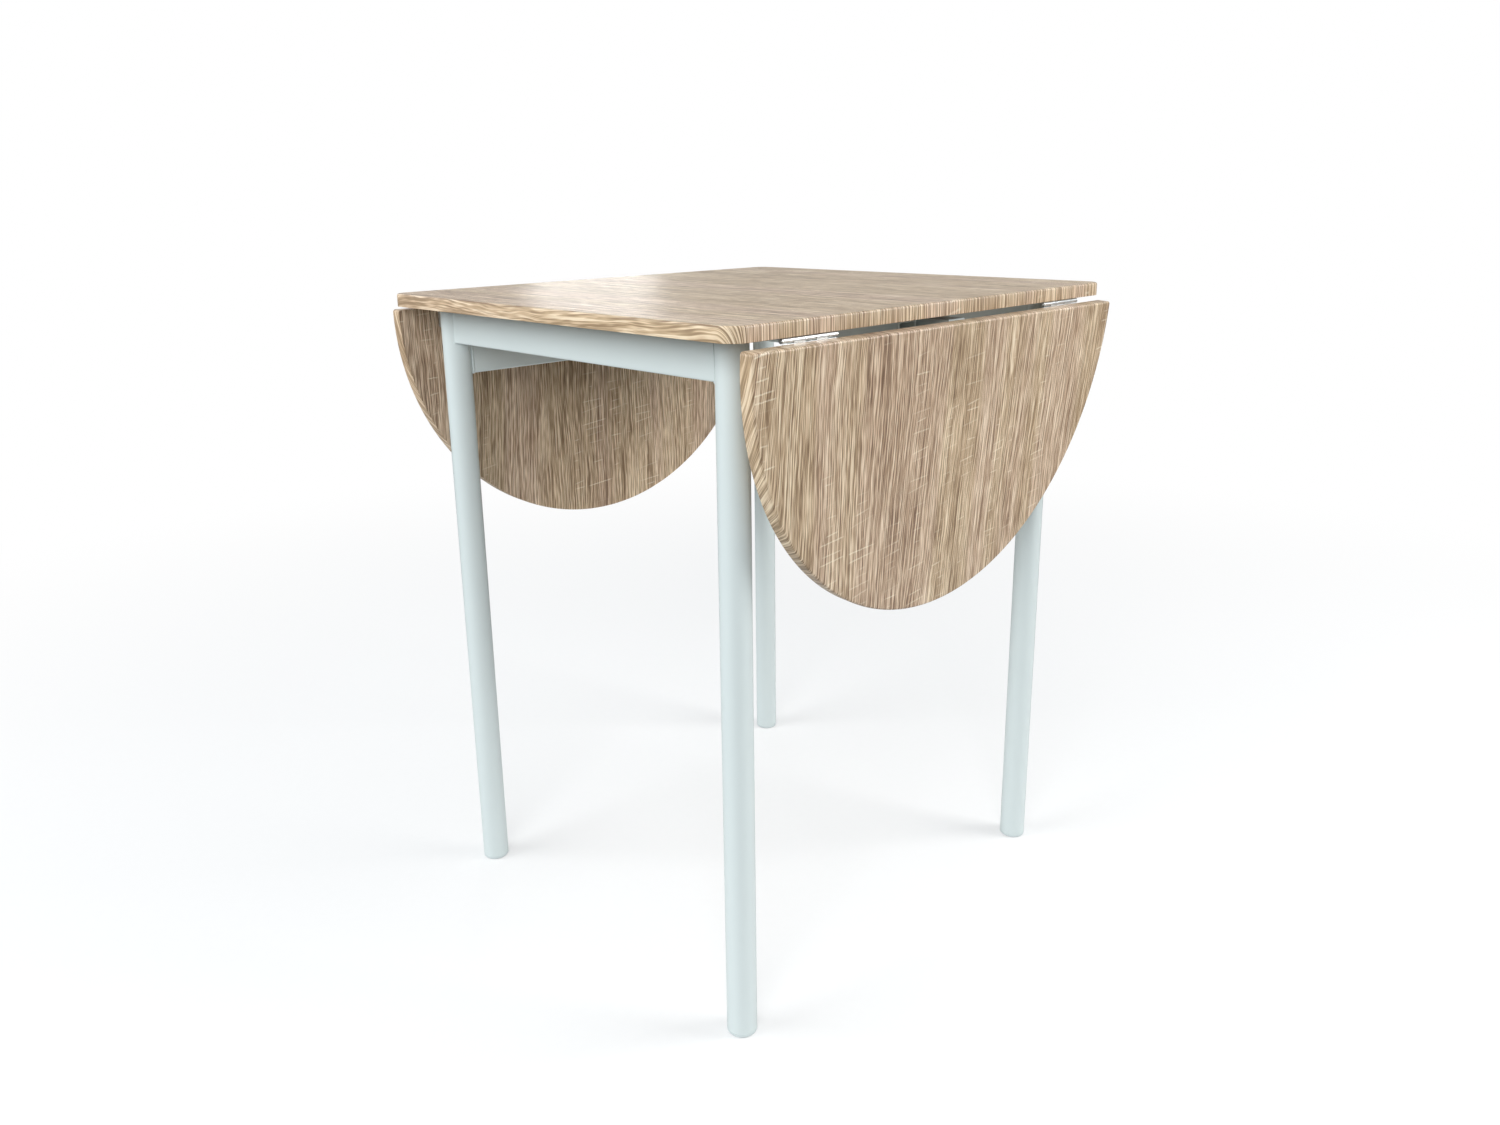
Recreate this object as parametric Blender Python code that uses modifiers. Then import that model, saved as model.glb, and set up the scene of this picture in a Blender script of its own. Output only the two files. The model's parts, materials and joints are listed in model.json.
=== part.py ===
"""Drop-leaf kitchen table: a wood-effect top and two half-round hinged leaves on a welded steel frame.

Units are metres and +Z is up. The origin is on the floor, under the middle of the top. The leaves hang on
the +X and -X sides and their hinge lines run along Y. Everything on the -X side is the +X side turned half a
turn about Z, so each side hangs on its own empty, and each leaf and each swing arm on an empty that sits on
its joint's axis.
"""

import math

import bmesh
import bpy

# Top and leaves
TABLE_HEIGHT = 0.750
TOP_SIZE_X = 0.578
TOP_SIZE_Y = 0.630
BOARD_THICKNESS = 0.015
TOP_CORNER_RADIUS = 0.020
EDGE_ROUNDING = 0.0018
LEAF_HALF_WIDTH = 0.3065
LEAF_DEPTH = 0.3055
LEAF_GAP = 0.001
UNDERSIDE = TABLE_HEIGHT - BOARD_THICKNESS

# Gap kept between pieces that touch on the real table
CONTACT_GAP = 0.0003

# Lengths of cutters: through one wall of a tube, a plate or a bar, and past the face that a cut opens
WALL_CUTTER = 0.010
CUT_PAST = 0.001

# Steel frame
LEG_X = 0.236
LEG_Y = 0.2638
LEG_RADIUS = 0.016
LEG_WALL = 0.0012
RAIL_HEIGHT = 0.040
RAIL_WIDTH = 0.020
RAIL_WALL = 0.0015
RAIL_ROUNDING = 0.0015
END_RAIL_BOTTOM = 0.692
SIDE_RAIL_BOTTOM = 0.6535
LEG_TOP = END_RAIL_BOTTOM + RAIL_HEIGHT

# Plastic feet and leg plugs
FOOT_HEAD = 0.004
FOOT_EDGE = 0.0025
PLUG_STEM = 0.018
PLUG_WALL = 0.002
PLUG_CHAMFER = 0.0005

# Hinges: knuckle barrel hanging under the joint line, leaves of the hinge flat against the boards
HINGE_X = TOP_SIZE_X / 2 - 0.002
HINGE_Y = 0.217
HINGE_LENGTH = 0.075
HINGE_KNUCKLES = 5
KNUCKLE_GAP = 0.0003
BARREL_RADIUS = 0.0024
PIN_RADIUS = 0.0011
PIN_CLEARANCE = 0.00015
PLATE_THICKNESS = 0.0012
PLATE_WIDTH = 0.025
PLATE_INSET = 0.0027
PLATE_ROUNDING = 0.0002
TAB_OVERLAP = 0.002
PLATE_HOLE_RADIUS = 0.0020
PLATE_COUNTERSINK_RADIUS = 0.0031
PLATE_COUNTERSINK_MOUTH = 0.0002
PLATE_HOLE_SPACING = 0.026
PLATE_HOLE_INSET = PLATE_INSET + 0.014
HINGE_Z = UNDERSIDE - CONTACT_GAP - BARREL_RADIUS

# Angle of each hanging leaf from the vertical, positive leaning in towards the legs
HANG_RIGHT = math.radians(4.3)
HANG_LEFT = math.radians(-1.3)

# Swing arms. Each turns on a bolt through its carrier, a cross tube that lies on both side rails
ARM_PIVOT_X = LEG_X
ARM_PIVOT_Y = 0.0235
ARM_THICKNESS = 0.004
ARM_WIDTH = 0.025
ARM_REACH = 0.1625
ARM_TOP = UNDERSIDE - CONTACT_GAP
ARM_BOTTOM = ARM_TOP - ARM_THICKNESS
ARM_ROUNDING = 0.0006
WASHER_THICKNESS = 0.0013
WASHER_RADIUS = 0.008
WASHER_BOTTOM = ARM_BOTTOM - CONTACT_GAP - WASHER_THICKNESS
CARRIER_OWN_END_X = 0.2787
CARRIER_OTHER_END_X = -0.250
CARRIER_MIDDLE_X = (CARRIER_OWN_END_X + CARRIER_OTHER_END_X) / 2
CARRIER_WIDTH = 0.030
CARRIER_HEIGHT = 0.035
CARRIER_WALL = 0.002
CARRIER_TOP = WASHER_BOTTOM - CONTACT_GAP
BOLT_RADIUS = 0.003
BOLT_HEAD_RADIUS = 0.0058
BOLT_HEAD_HEIGHT = 0.0028
BOLT_TOP = ARM_TOP - 0.0002
BOLT_LENGTH = 0.015
BOLT_CHAMFER = 0.0005
BOLT_HOLE_RADIUS = BOLT_RADIUS + CONTACT_GAP
SOCKET_RADIUS = 0.0022
SOCKET_DEPTH = 0.0018
NUT_ACROSS_FLATS = 0.010
NUT_HEIGHT = 0.005
NUT_ROUNDING = 0.0004
THREAD_CLEARANCE = 0.0002

# Screws that hold the top down on the end rails
TOP_SCREW_X = 0.140
SCREW_HEAD_RADIUS = 0.004
SCREW_HEAD_HEIGHT = 0.0025
SCREW_HEAD_CHAMFER = 0.0008
SCREW_RECESS_RADIUS = 0.0012
SCREW_RECESS_DEPTH = 0.0015
SCREW_RADIUS = 0.0019
SCREW_LENGTH = 0.0135
SCREW_POINT = 0.003
SCREW_CLEARANCE = 0.0003
ACCESS_HOLE_RADIUS = 0.005

# Sides of round pieces and points along arcs
ROUND_STEPS = 32
SMALL_STEPS = 16
FINE_STEPS = 12
LEAF_STEPS = 64
CORNER_STEPS = 9
ARM_END_STEPS = 12
SMOOTH_ANGLE = math.radians(35)

# name: (base colour, roughness, metallic)
FINISHES = {
    "oak_foil": ((0.52, 0.41, 0.30), 0.45, 0.0),
    "frame_paint": ((0.70, 0.76, 0.77), 0.35, 0.1),
    "zinc": ((0.62, 0.63, 0.64), 0.30, 0.9),
    "pale_plastic": ((0.68, 0.73, 0.74), 0.50, 0.0),
}


def clear_scene():
    for old in list(bpy.data.objects):
        bpy.data.objects.remove(old, do_unlink=True)


def new_collection(name):
    collection = bpy.data.collections.new(name)
    bpy.context.scene.collection.children.link(collection)
    return collection


def new_material(part, finish):
    """A material of the part's own, in one of the table's finishes."""
    color, roughness, metallic = FINISHES[finish]
    material = bpy.data.materials.new(f"{part}_{finish}")
    material.use_nodes = True
    shader = material.node_tree.nodes["Principled BSDF"]
    shader.inputs["Base Color"].default_value = (*color, 1.0)
    shader.inputs["Roughness"].default_value = roughness
    shader.inputs["Metallic"].default_value = metallic
    return material


# ---------------------------------------------------------------- shapes that a part or a cutter starts from


def object_of(bm, name):
    """A new, unlinked mesh object that takes over what the bmesh holds."""
    mesh = bpy.data.meshes.new(name)
    bm.to_mesh(mesh)
    bm.free()
    return bpy.data.objects.new(name, mesh)


def box(low, high):
    bm = bmesh.new()
    bmesh.ops.create_cube(bm, size=1)
    size = [b - a for a, b in zip(low, high)]
    middle = [(a + b) / 2 for a, b in zip(low, high)]
    bmesh.ops.scale(bm, vec=size, verts=bm.verts)
    bmesh.ops.translate(bm, vec=middle, verts=bm.verts)
    return object_of(bm, "box")


def cylinder(radius, length, centre, axis="Z", steps=ROUND_STEPS, top_radius=None):
    """A cylinder, or a cone when top_radius is given, along one axis about its centre."""
    bm = bmesh.new()
    bmesh.ops.create_cone(
        bm,
        cap_ends=True,
        segments=steps,
        radius1=radius,
        radius2=radius if top_radius is None else top_radius,
        depth=length,
    )
    obj = object_of(bm, "cylinder")
    obj.location = centre
    if axis == "Y":
        obj.rotation_euler.x = math.pi / 2
    return obj


def turned(profile, steps=ROUND_STEPS, closed=False):
    """A profile of (radius, z) points turned about Z. Its outer side runs from top to bottom."""
    bm = bmesh.new()
    points = [bm.verts.new((radius, 0, z)) for radius, z in profile]
    for first, second in zip(points, points[1:]):
        bm.edges.new((first, second))
    if closed:
        bm.edges.new((points[-1], points[0]))
    obj = object_of(bm, "turned")
    screw = obj.modifiers.new("Screw", "SCREW")
    screw.steps = steps
    screw.render_steps = steps
    screw.use_merge_vertices = True
    screw.merge_threshold = 0.00005
    return obj


def flat_outline(points, thickness):
    """A filled 2D curve through the points, extruded half the thickness each way, as a mesh."""
    curve = bpy.data.curves.new("outline", "CURVE")
    curve.dimensions = "2D"
    curve.fill_mode = "BOTH"
    curve.extrude = thickness / 2
    spline = curve.splines.new("POLY")
    spline.points.add(len(points) - 1)
    for point, (x, y) in zip(spline.points, points):
        point.co = (x, y, 0, 1)
    spline.use_cyclic_u = True
    source = bpy.data.objects.new("outline", curve)
    bpy.context.scene.collection.objects.link(source)
    bpy.context.view_layer.update()
    graph = bpy.context.evaluated_depsgraph_get()
    mesh = bpy.data.meshes.new_from_object(source.evaluated_get(graph))
    bpy.data.objects.remove(source, do_unlink=True)
    bm = bmesh.new()
    bm.from_mesh(mesh)
    bmesh.ops.remove_doubles(bm, verts=bm.verts, dist=0.00001)
    bm.to_mesh(mesh)
    bm.free()
    return bpy.data.objects.new("outline", mesh)


def arc(centre_x, centre_y, radius, start, end, steps):
    """Points along an arc, both ends included. Angles are in degrees."""
    angles = [math.radians(start + (end - start) * i / steps) for i in range(steps + 1)]
    return [(centre_x + radius * math.cos(a), centre_y + radius * math.sin(a)) for a in angles]


# ---------------------------------------------------------------- modifiers


def rounded(obj, width, segments=2, angle=math.radians(40)):
    bevel = obj.modifiers.new("Bevel", "BEVEL")
    bevel.width = width
    bevel.segments = segments
    bevel.limit_method = "ANGLE"
    bevel.angle_limit = angle
    return obj


def combined(obj, tool, operation):
    """Cuts obj with another object, or joins them, by a Boolean modifier."""
    CUTTERS.objects.link(tool)
    tool.hide_render = True
    tool.display_type = "WIRE"
    boolean = obj.modifiers.new(operation.title(), "BOOLEAN")
    boolean.operation = operation
    boolean.solver = "EXACT"
    boolean.object = tool
    return obj


def cut(obj, tool):
    return combined(obj, tool, "DIFFERENCE")


def join(obj, tool):
    return combined(obj, tool, "UNION")


def finished_mesh(obj, name):
    """The mesh that a modelled shape evaluates to. The shape itself is removed, and its cutters with it."""
    tools = [m.object for m in obj.modifiers if m.type == "BOOLEAN"]
    bpy.context.scene.collection.objects.link(obj)
    bpy.context.view_layer.update()
    graph = bpy.context.evaluated_depsgraph_get()
    mesh = bpy.data.meshes.new_from_object(obj.evaluated_get(graph))
    mesh.transform(obj.matrix_world)
    mesh.name = name
    mesh.shade_smooth()
    mesh.set_sharp_from_angle(angle=SMOOTH_ANGLE)
    for used in [obj, *tools]:
        bpy.data.objects.remove(used, do_unlink=True)
    return mesh


# ---------------------------------------------------------------- placing


def place(name, mesh, finish, location=(0, 0, 0), turn=0.0, parent=None):
    """A named part with a mesh, a material of its own and a turn about Z."""
    obj = bpy.data.objects.new(name, mesh.copy())
    obj.data.name = name
    obj.data.materials.clear()
    obj.data.materials.append(new_material(name, finish))
    obj.location = location
    obj.rotation_euler.z = turn
    obj.parent = parent
    PARTS.objects.link(obj)
    return obj


def empty(name, location=(0, 0, 0), rotation=(0, 0, 0), parent=None):
    obj = bpy.data.objects.new(name, None)
    obj.empty_display_size = 0.05
    obj.location = location
    obj.rotation_euler = rotation
    obj.parent = parent
    PARTS.objects.link(obj)
    return obj


# ---------------------------------------------------------------- boards


def top_mesh():
    half_x = TOP_SIZE_X / 2 - TOP_CORNER_RADIUS
    half_y = TOP_SIZE_Y / 2 - TOP_CORNER_RADIUS
    outline = []
    for sign_x, sign_y, start in ((1, 1, 0), (-1, 1, 90), (-1, -1, 180), (1, -1, 270)):
        outline += arc(sign_x * half_x, sign_y * half_y, TOP_CORNER_RADIUS, start, start + 90,
                       CORNER_STEPS)
    top = rounded(flat_outline(outline, BOARD_THICKNESS), EDGE_ROUNDING)
    hole_top = SCREW_LENGTH + LEG_TOP - RAIL_WALL + CONTACT_GAP
    hole_length = hole_top - UNDERSIDE + CUT_PAST
    middle = hole_top - hole_length / 2 - (UNDERSIDE + BOARD_THICKNESS / 2)
    for x in (-TOP_SCREW_X, TOP_SCREW_X):
        for y in (-LEG_Y, LEG_Y):
            cut(top, cylinder(SCREW_RADIUS + SCREW_CLEARANCE, hole_length, (x, y, middle), steps=SMALL_STEPS))
    return finished_mesh(top, "top")


def leaf_mesh():
    """The half-round leaf, lying open: its straight edge is at x = 0 and its middle plane at z = 0."""
    angles = [math.pi * (i / LEAF_STEPS - 0.5) for i in range(LEAF_STEPS + 1)]
    outline = [(LEAF_DEPTH * math.cos(a), LEAF_HALF_WIDTH * math.sin(a)) for a in angles]
    return finished_mesh(rounded(flat_outline(outline, BOARD_THICKNESS), EDGE_ROUNDING), "leaf")


# ---------------------------------------------------------------- frame


def leg_mesh():
    inner = LEG_RADIUS - LEG_WALL
    bottom = FOOT_HEAD + CONTACT_GAP
    profile = [(LEG_RADIUS, LEG_TOP), (LEG_RADIUS, bottom), (inner, bottom), (inner, LEG_TOP)]
    return finished_mesh(turned(profile, closed=True), "leg")


def foot_mesh():
    """A plastic foot: a head as wide as the tube, with a rounded edge, on a hollow stem that fits in it."""
    stem = LEG_RADIUS - LEG_WALL - CONTACT_GAP
    bore = stem - PLUG_WALL
    stem_top = FOOT_HEAD + PLUG_STEM
    edge = arc(LEG_RADIUS - FOOT_EDGE, FOOT_EDGE, FOOT_EDGE, 0, -90, 3)
    profile = [(0, FOOT_HEAD), (bore, FOOT_HEAD), (bore, stem_top), (stem, stem_top), (stem, FOOT_HEAD)]
    profile += [(LEG_RADIUS, FOOT_HEAD), *edge, (0, 0)]
    return finished_mesh(turned(profile), "foot")


def plug_mesh():
    """The plug that closes the top of a leg. The top board rests on its head."""
    stem = LEG_RADIUS - LEG_WALL - CONTACT_GAP
    bore = stem - PLUG_WALL
    head_bottom = LEG_TOP + CONTACT_GAP
    head_top = UNDERSIDE - CONTACT_GAP
    stem_bottom = LEG_TOP - PLUG_STEM
    profile = [(0, head_top), (LEG_RADIUS - PLUG_CHAMFER, head_top), (LEG_RADIUS, head_top - PLUG_CHAMFER)]
    profile += [(LEG_RADIUS, head_bottom), (stem, head_bottom), (stem, stem_bottom), (bore, stem_bottom)]
    profile += [(bore, head_bottom), (0, head_bottom)]
    return finished_mesh(turned(profile), "plug")


def hollow_tube(length, width, height, wall):
    """A rectangular tube along Y with rounded corners, its bottom at z = 0. Its bore runs right through."""
    half = width / 2
    tube = rounded(box((-half, -length / 2, 0), (half, length / 2, height)), RAIL_ROUNDING)
    bore_low = (wall - half, -length, wall)
    bore_high = (half - wall, length, height - wall)
    return cut(tube, box(bore_low, bore_high))


def end_rail_mesh():
    """The rail across a table end, along Y here. Its ends are cut to the round of the legs."""
    rail = hollow_tube(2 * LEG_X, RAIL_WIDTH, RAIL_HEIGHT, RAIL_WALL)
    for y in (-LEG_X, LEG_X):
        cut(rail, cylinder(LEG_RADIUS + CONTACT_GAP, 2 * RAIL_HEIGHT, (0, y, RAIL_HEIGHT / 2)))
    for y in (-TOP_SCREW_X, TOP_SCREW_X):
        cut(rail, cylinder(ACCESS_HOLE_RADIUS, WALL_CUTTER, (0, y, 0), steps=SMALL_STEPS))
        hole = cylinder(SCREW_RADIUS + SCREW_CLEARANCE, WALL_CUTTER, (0, y, RAIL_HEIGHT), steps=SMALL_STEPS)
        cut(rail, hole)
    return finished_mesh(rail, "end_rail")


def side_rail_mesh():
    """The lower rail along a table side. Its ends are cut square and meet the legs on one line."""
    length = 2 * (LEG_Y - LEG_RADIUS - CONTACT_GAP)
    return finished_mesh(hollow_tube(length, RAIL_WIDTH, RAIL_HEIGHT, RAIL_WALL), "side_rail")


def top_screw_mesh():
    """A pan-head wood screw pointing up, with its head's seat at z = 0."""
    point = SCREW_LENGTH - SCREW_POINT
    edge = SCREW_HEAD_CHAMFER
    profile = [(0, SCREW_LENGTH), (SCREW_RADIUS, point), (SCREW_RADIUS, 0), (SCREW_HEAD_RADIUS, 0)]
    profile += [(SCREW_HEAD_RADIUS, edge - SCREW_HEAD_HEIGHT), (SCREW_HEAD_RADIUS - edge, -SCREW_HEAD_HEIGHT)]
    profile += [(SCREW_RECESS_RADIUS, -SCREW_HEAD_HEIGHT), (0, SCREW_RECESS_DEPTH - SCREW_HEAD_HEIGHT)]
    return finished_mesh(turned(profile, steps=SMALL_STEPS), "top_screw")


# ---------------------------------------------------------------- hinges, their axis through the origin


def hinge_plate_mesh(reach, knuckles):
    """A hinge leaf and its knuckles. reach is -1 for the one under the top, which lies towards -X, else 1."""
    pitch = HINGE_LENGTH / HINGE_KNUCKLES
    low_z = BARREL_RADIUS - PLATE_THICKNESS
    near, far = sorted((reach * PLATE_INSET, reach * (PLATE_INSET + PLATE_WIDTH)))
    plate = box((near, -HINGE_LENGTH / 2, low_z), (far, HINGE_LENGTH / 2, BARREL_RADIUS))
    rounded(plate, PLATE_ROUNDING, segments=1)
    for index in knuckles:
        middle = (index + 0.5) * pitch - HINGE_LENGTH / 2
        half = pitch / 2 - KNUCKLE_GAP / 2
        # The tab overlaps the plate, and ends on the axis, where the barrel is tangent to it.
        tab_near, tab_far = sorted((0.0, reach * (PLATE_INSET + TAB_OVERLAP)))
        join(plate, box((tab_near, middle - half, low_z), (tab_far, middle + half, BARREL_RADIUS)))
        join(plate, cylinder(BARREL_RADIUS, 2 * half, (0, middle, 0), axis="Y", steps=SMALL_STEPS))
    cut(plate, cylinder(PIN_RADIUS + PIN_CLEARANCE, 2 * HINGE_LENGTH, (0, 0, 0), axis="Y", steps=FINE_STEPS))
    hole_x = reach * PLATE_HOLE_INSET
    sink_depth = PLATE_COUNTERSINK_RADIUS - PLATE_HOLE_RADIUS
    sink_z = low_z - PLATE_COUNTERSINK_MOUTH + sink_depth / 2
    for y in (-PLATE_HOLE_SPACING, 0, PLATE_HOLE_SPACING):
        cut(plate, cylinder(PLATE_HOLE_RADIUS, WALL_CUTTER, (hole_x, y, 0), steps=FINE_STEPS))
        cut(plate, cylinder(PLATE_COUNTERSINK_RADIUS, sink_depth, (hole_x, y, sink_z), steps=FINE_STEPS,
                            top_radius=PLATE_HOLE_RADIUS))
    return finished_mesh(plate, "hinge_plate")


def hinge_pin_mesh():
    pin = cylinder(PIN_RADIUS, HINGE_LENGTH, (0, 0, 0), steps=FINE_STEPS)
    rounded(pin, PLATE_ROUNDING, segments=1)
    return finished_mesh(pin, "hinge_pin")


# ---------------------------------------------------------------- swing arm, with its pivot on the Z axis


def arm_mesh():
    """A round-ended flat bar, pointing to -Y, with a countersunk pivot hole. Its middle plane is z = 0."""
    half = ARM_WIDTH / 2
    outline = arc(0, 0, half, 0, 180, ARM_END_STEPS) + arc(0, -ARM_REACH, half, 180, 360, ARM_END_STEPS)
    arm = rounded(flat_outline(outline, ARM_THICKNESS), ARM_ROUNDING, segments=1)
    cut(arm, cylinder(BOLT_HOLE_RADIUS, WALL_CUTTER, (0, 0, 0), steps=SMALL_STEPS))
    # The countersink is the bolt head's cone, one gap wider, run on past the bar's face at the same slope.
    slope = (BOLT_HEAD_RADIUS - BOLT_RADIUS) / BOLT_HEAD_HEIGHT
    high = ARM_THICKNESS / 2 + CUT_PAST
    low = BOLT_TOP - BOLT_HEAD_HEIGHT - (ARM_TOP - ARM_THICKNESS / 2)
    wide = BOLT_HOLE_RADIUS + slope * (high - low)
    middle = (0, 0, (high + low) / 2)
    sink = cylinder(BOLT_HOLE_RADIUS, high - low, middle, steps=SMALL_STEPS, top_radius=wide)
    return finished_mesh(cut(arm, sink), "arm")


def carrier_mesh():
    """The cross tube under one arm, along Y here and in the middle of its length, with the bolt's hole."""
    tube = hollow_tube(CARRIER_OWN_END_X - CARRIER_OTHER_END_X, CARRIER_WIDTH, CARRIER_HEIGHT, CARRIER_WALL)
    bolt_hole = (0, ARM_PIVOT_X - CARRIER_MIDDLE_X, CARRIER_HEIGHT)
    hole = cylinder(BOLT_HOLE_RADIUS, WALL_CUTTER, bolt_hole, steps=SMALL_STEPS)
    return finished_mesh(cut(tube, hole), "carrier")


def bolt_mesh():
    """A countersunk bolt pointing down, with a hexagon socket, its top at z = 0."""
    shoulder = -BOLT_HEAD_HEIGHT
    rim = BOLT_HEAD_RADIUS
    profile = [(0, 0), (rim, 0), (BOLT_RADIUS, shoulder), (BOLT_RADIUS, BOLT_CHAMFER - BOLT_LENGTH)]
    profile += [(BOLT_RADIUS - BOLT_CHAMFER, -BOLT_LENGTH), (0, -BOLT_LENGTH)]
    bolt = turned(profile, steps=SMALL_STEPS)
    return finished_mesh(cut(bolt, cylinder(SOCKET_RADIUS, 2 * SOCKET_DEPTH, (0, 0, 0), steps=6)), "bolt")


def nut_mesh():
    corner = NUT_ACROSS_FLATS / 2 / math.cos(math.pi / 6)
    nut = cylinder(corner, NUT_HEIGHT, (0, 0, -NUT_HEIGHT / 2), steps=6)
    rounded(nut, NUT_ROUNDING, segments=1)
    hole = cylinder(BOLT_RADIUS + THREAD_CLEARANCE, 3 * NUT_HEIGHT, (0, 0, 0), steps=SMALL_STEPS)
    return finished_mesh(cut(nut, hole), "nut")


def washer_mesh():
    profile = [(WASHER_RADIUS, WASHER_THICKNESS), (WASHER_RADIUS, 0)]
    profile += [(BOLT_HOLE_RADIUS, 0), (BOLT_HOLE_RADIUS, WASHER_THICKNESS)]
    return finished_mesh(turned(profile, closed=True), "washer")


# ---------------------------------------------------------------- assembly


def build_frame():
    leg, foot, plug = leg_mesh(), foot_mesh(), plug_mesh()
    end_rail, screw = end_rail_mesh(), top_screw_mesh()
    for end, y in (("front", -LEG_Y), ("back", LEG_Y)):
        place(f"end_rail_{end}", end_rail, "frame_paint", (0, y, END_RAIL_BOTTOM), turn=math.pi / 2)
        for side, sign in (("right", 1), ("left", -1)):
            where = (sign * LEG_X, y, 0)
            place(f"leg_{end}_{side}", leg, "frame_paint", where)
            place(f"foot_{end}_{side}", foot, "pale_plastic", where)
            place(f"leg_plug_{end}_{side}", plug, "pale_plastic", where)
            seat = LEG_TOP - RAIL_WALL - CONTACT_GAP
            place(f"top_screw_{end}_{side}", screw, "zinc", (sign * TOP_SCREW_X, y, seat))


def build_side(side, turn, hang, meshes):
    """One long side: rail, hinges, leaf, and the swing arm with its cross tube."""
    base = empty(f"side_{side}", rotation=(0, 0, turn))
    place(f"side_rail_{side}", meshes["side_rail"], "frame_paint", (LEG_X, 0, SIDE_RAIL_BOTTOM), parent=base)

    leaf_axis = empty(f"leaf_axis_{side}", (HINGE_X, 0, HINGE_Z), (0, math.pi / 2 + hang, 0), base)
    leaf_edge = TOP_SIZE_X / 2 + LEAF_GAP - HINGE_X
    leaf_middle = UNDERSIDE + BOARD_THICKNESS / 2 - HINGE_Z
    place(f"leaf_{side}", meshes["leaf"], "oak_foil", (leaf_edge, 0, leaf_middle), parent=leaf_axis)
    for number, y in ((1, -HINGE_Y), (2, HINGE_Y)):
        name = f"{side}_{number}"
        centre = (HINGE_X, y, HINGE_Z)
        place(f"hinge_top_plate_{name}", meshes["fixed_plate"], "zinc", centre, parent=base)
        place(f"hinge_leaf_plate_{name}", meshes["moving_plate"], "zinc", (0, y, 0), parent=leaf_axis)
        pin = place(f"hinge_pin_{name}", meshes["pin"], "zinc", centre, parent=base)
        pin.rotation_euler.x = math.pi / 2

    where = (CARRIER_MIDDLE_X, ARM_PIVOT_Y, CARRIER_TOP - CARRIER_HEIGHT)
    place(f"arm_carrier_{side}", meshes["carrier"], "frame_paint", where, -math.pi / 2, base)
    nut_top = CARRIER_TOP - CARRIER_WALL - CONTACT_GAP
    for piece, finish, height in (
        ("washer", "pale_plastic", WASHER_BOTTOM),
        ("bolt", "zinc", BOLT_TOP),
        ("nut", "zinc", nut_top),
    ):
        place(f"arm_{piece}_{side}", meshes[piece], finish, (ARM_PIVOT_X, ARM_PIVOT_Y, height), parent=base)
    pivot = (ARM_PIVOT_X, ARM_PIVOT_Y, ARM_TOP - ARM_THICKNESS / 2)
    arm_axis = empty(f"arm_axis_{side}", pivot, parent=base)
    place(f"swing_arm_{side}", meshes["arm"], "zinc", parent=arm_axis)


def build_table():
    place("top_panel", top_mesh(), "oak_foil", (0, 0, UNDERSIDE + BOARD_THICKNESS / 2))
    build_frame()
    meshes = {
        "side_rail": side_rail_mesh(),
        "leaf": leaf_mesh(),
        "fixed_plate": hinge_plate_mesh(-1, (0, 2, 4)),
        "moving_plate": hinge_plate_mesh(1, (1, 3)),
        "pin": hinge_pin_mesh(),
        "carrier": carrier_mesh(),
        "washer": washer_mesh(),
        "bolt": bolt_mesh(),
        "nut": nut_mesh(),
        "arm": arm_mesh(),
    }
    build_side("right", 0.0, HANG_RIGHT, meshes)
    build_side("left", math.pi, HANG_LEFT, meshes)


clear_scene()
PARTS = new_collection("drop_leaf_table")
CUTTERS = new_collection("cutters")
CUTTERS.hide_render = True
build_table()
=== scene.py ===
"""Looks of the drop-leaf table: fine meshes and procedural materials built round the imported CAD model.

Every piece is built in the row frame, in metres, and its object sits at the origin. Sizes come from the CAD
nodes, read in the frame that each node was designed in; the constants below are details finer than the CAD.
"""

import json
import math

import bmesh
import bpy
from mathutils import Matrix, Vector, noise


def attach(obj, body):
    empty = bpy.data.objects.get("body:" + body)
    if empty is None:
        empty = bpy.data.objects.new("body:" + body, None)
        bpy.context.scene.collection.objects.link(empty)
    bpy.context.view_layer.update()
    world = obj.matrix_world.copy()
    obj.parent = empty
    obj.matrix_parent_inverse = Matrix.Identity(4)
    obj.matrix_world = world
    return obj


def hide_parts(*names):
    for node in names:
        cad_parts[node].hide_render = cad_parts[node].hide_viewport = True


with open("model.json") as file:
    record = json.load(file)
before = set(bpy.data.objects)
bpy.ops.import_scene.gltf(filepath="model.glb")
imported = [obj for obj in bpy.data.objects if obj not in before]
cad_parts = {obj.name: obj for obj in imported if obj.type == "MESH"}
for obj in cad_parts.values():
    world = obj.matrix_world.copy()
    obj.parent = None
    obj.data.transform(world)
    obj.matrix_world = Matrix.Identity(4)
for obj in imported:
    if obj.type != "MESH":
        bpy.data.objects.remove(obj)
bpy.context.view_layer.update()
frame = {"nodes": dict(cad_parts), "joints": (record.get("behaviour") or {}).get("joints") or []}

TAU = 2 * math.pi
UP = Vector((0, 0, 1))
JOINTS = {joint["name"]: joint for joint in frame["joints"]}
SIDES = {"right": Matrix.Identity(4), "left": Matrix.Rotation(math.pi, 4, "Z")}
ENDS = {"front": -1, "back": 1}

# Boards
UPPER_ROUNDING = 0.0022
LOWER_ROUNDING = 0.0005
CORNER_RADIUS = 0.020
LEAF_CORNER = 0.003
ROUNDING_STEPS = 6
SUPPORT_LOOP = 0.0006
FOIL_STRETCH = 0.55
CORNER_STEPS = 24
LEAF_STEPS = 150
LEAF_CORNER_STEPS = 6

# Where on the roll of foil each board's piece was cut, and the lower faces' shift from the upper ones
FOIL_PLACES = {"top_panel": (0.0, 0.0), "leaf_right": (1.37, 0.21), "leaf_left": (3.93, 1.18)}
LOWER_FOIL_SHIFT = (7.3, 2.6)

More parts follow.
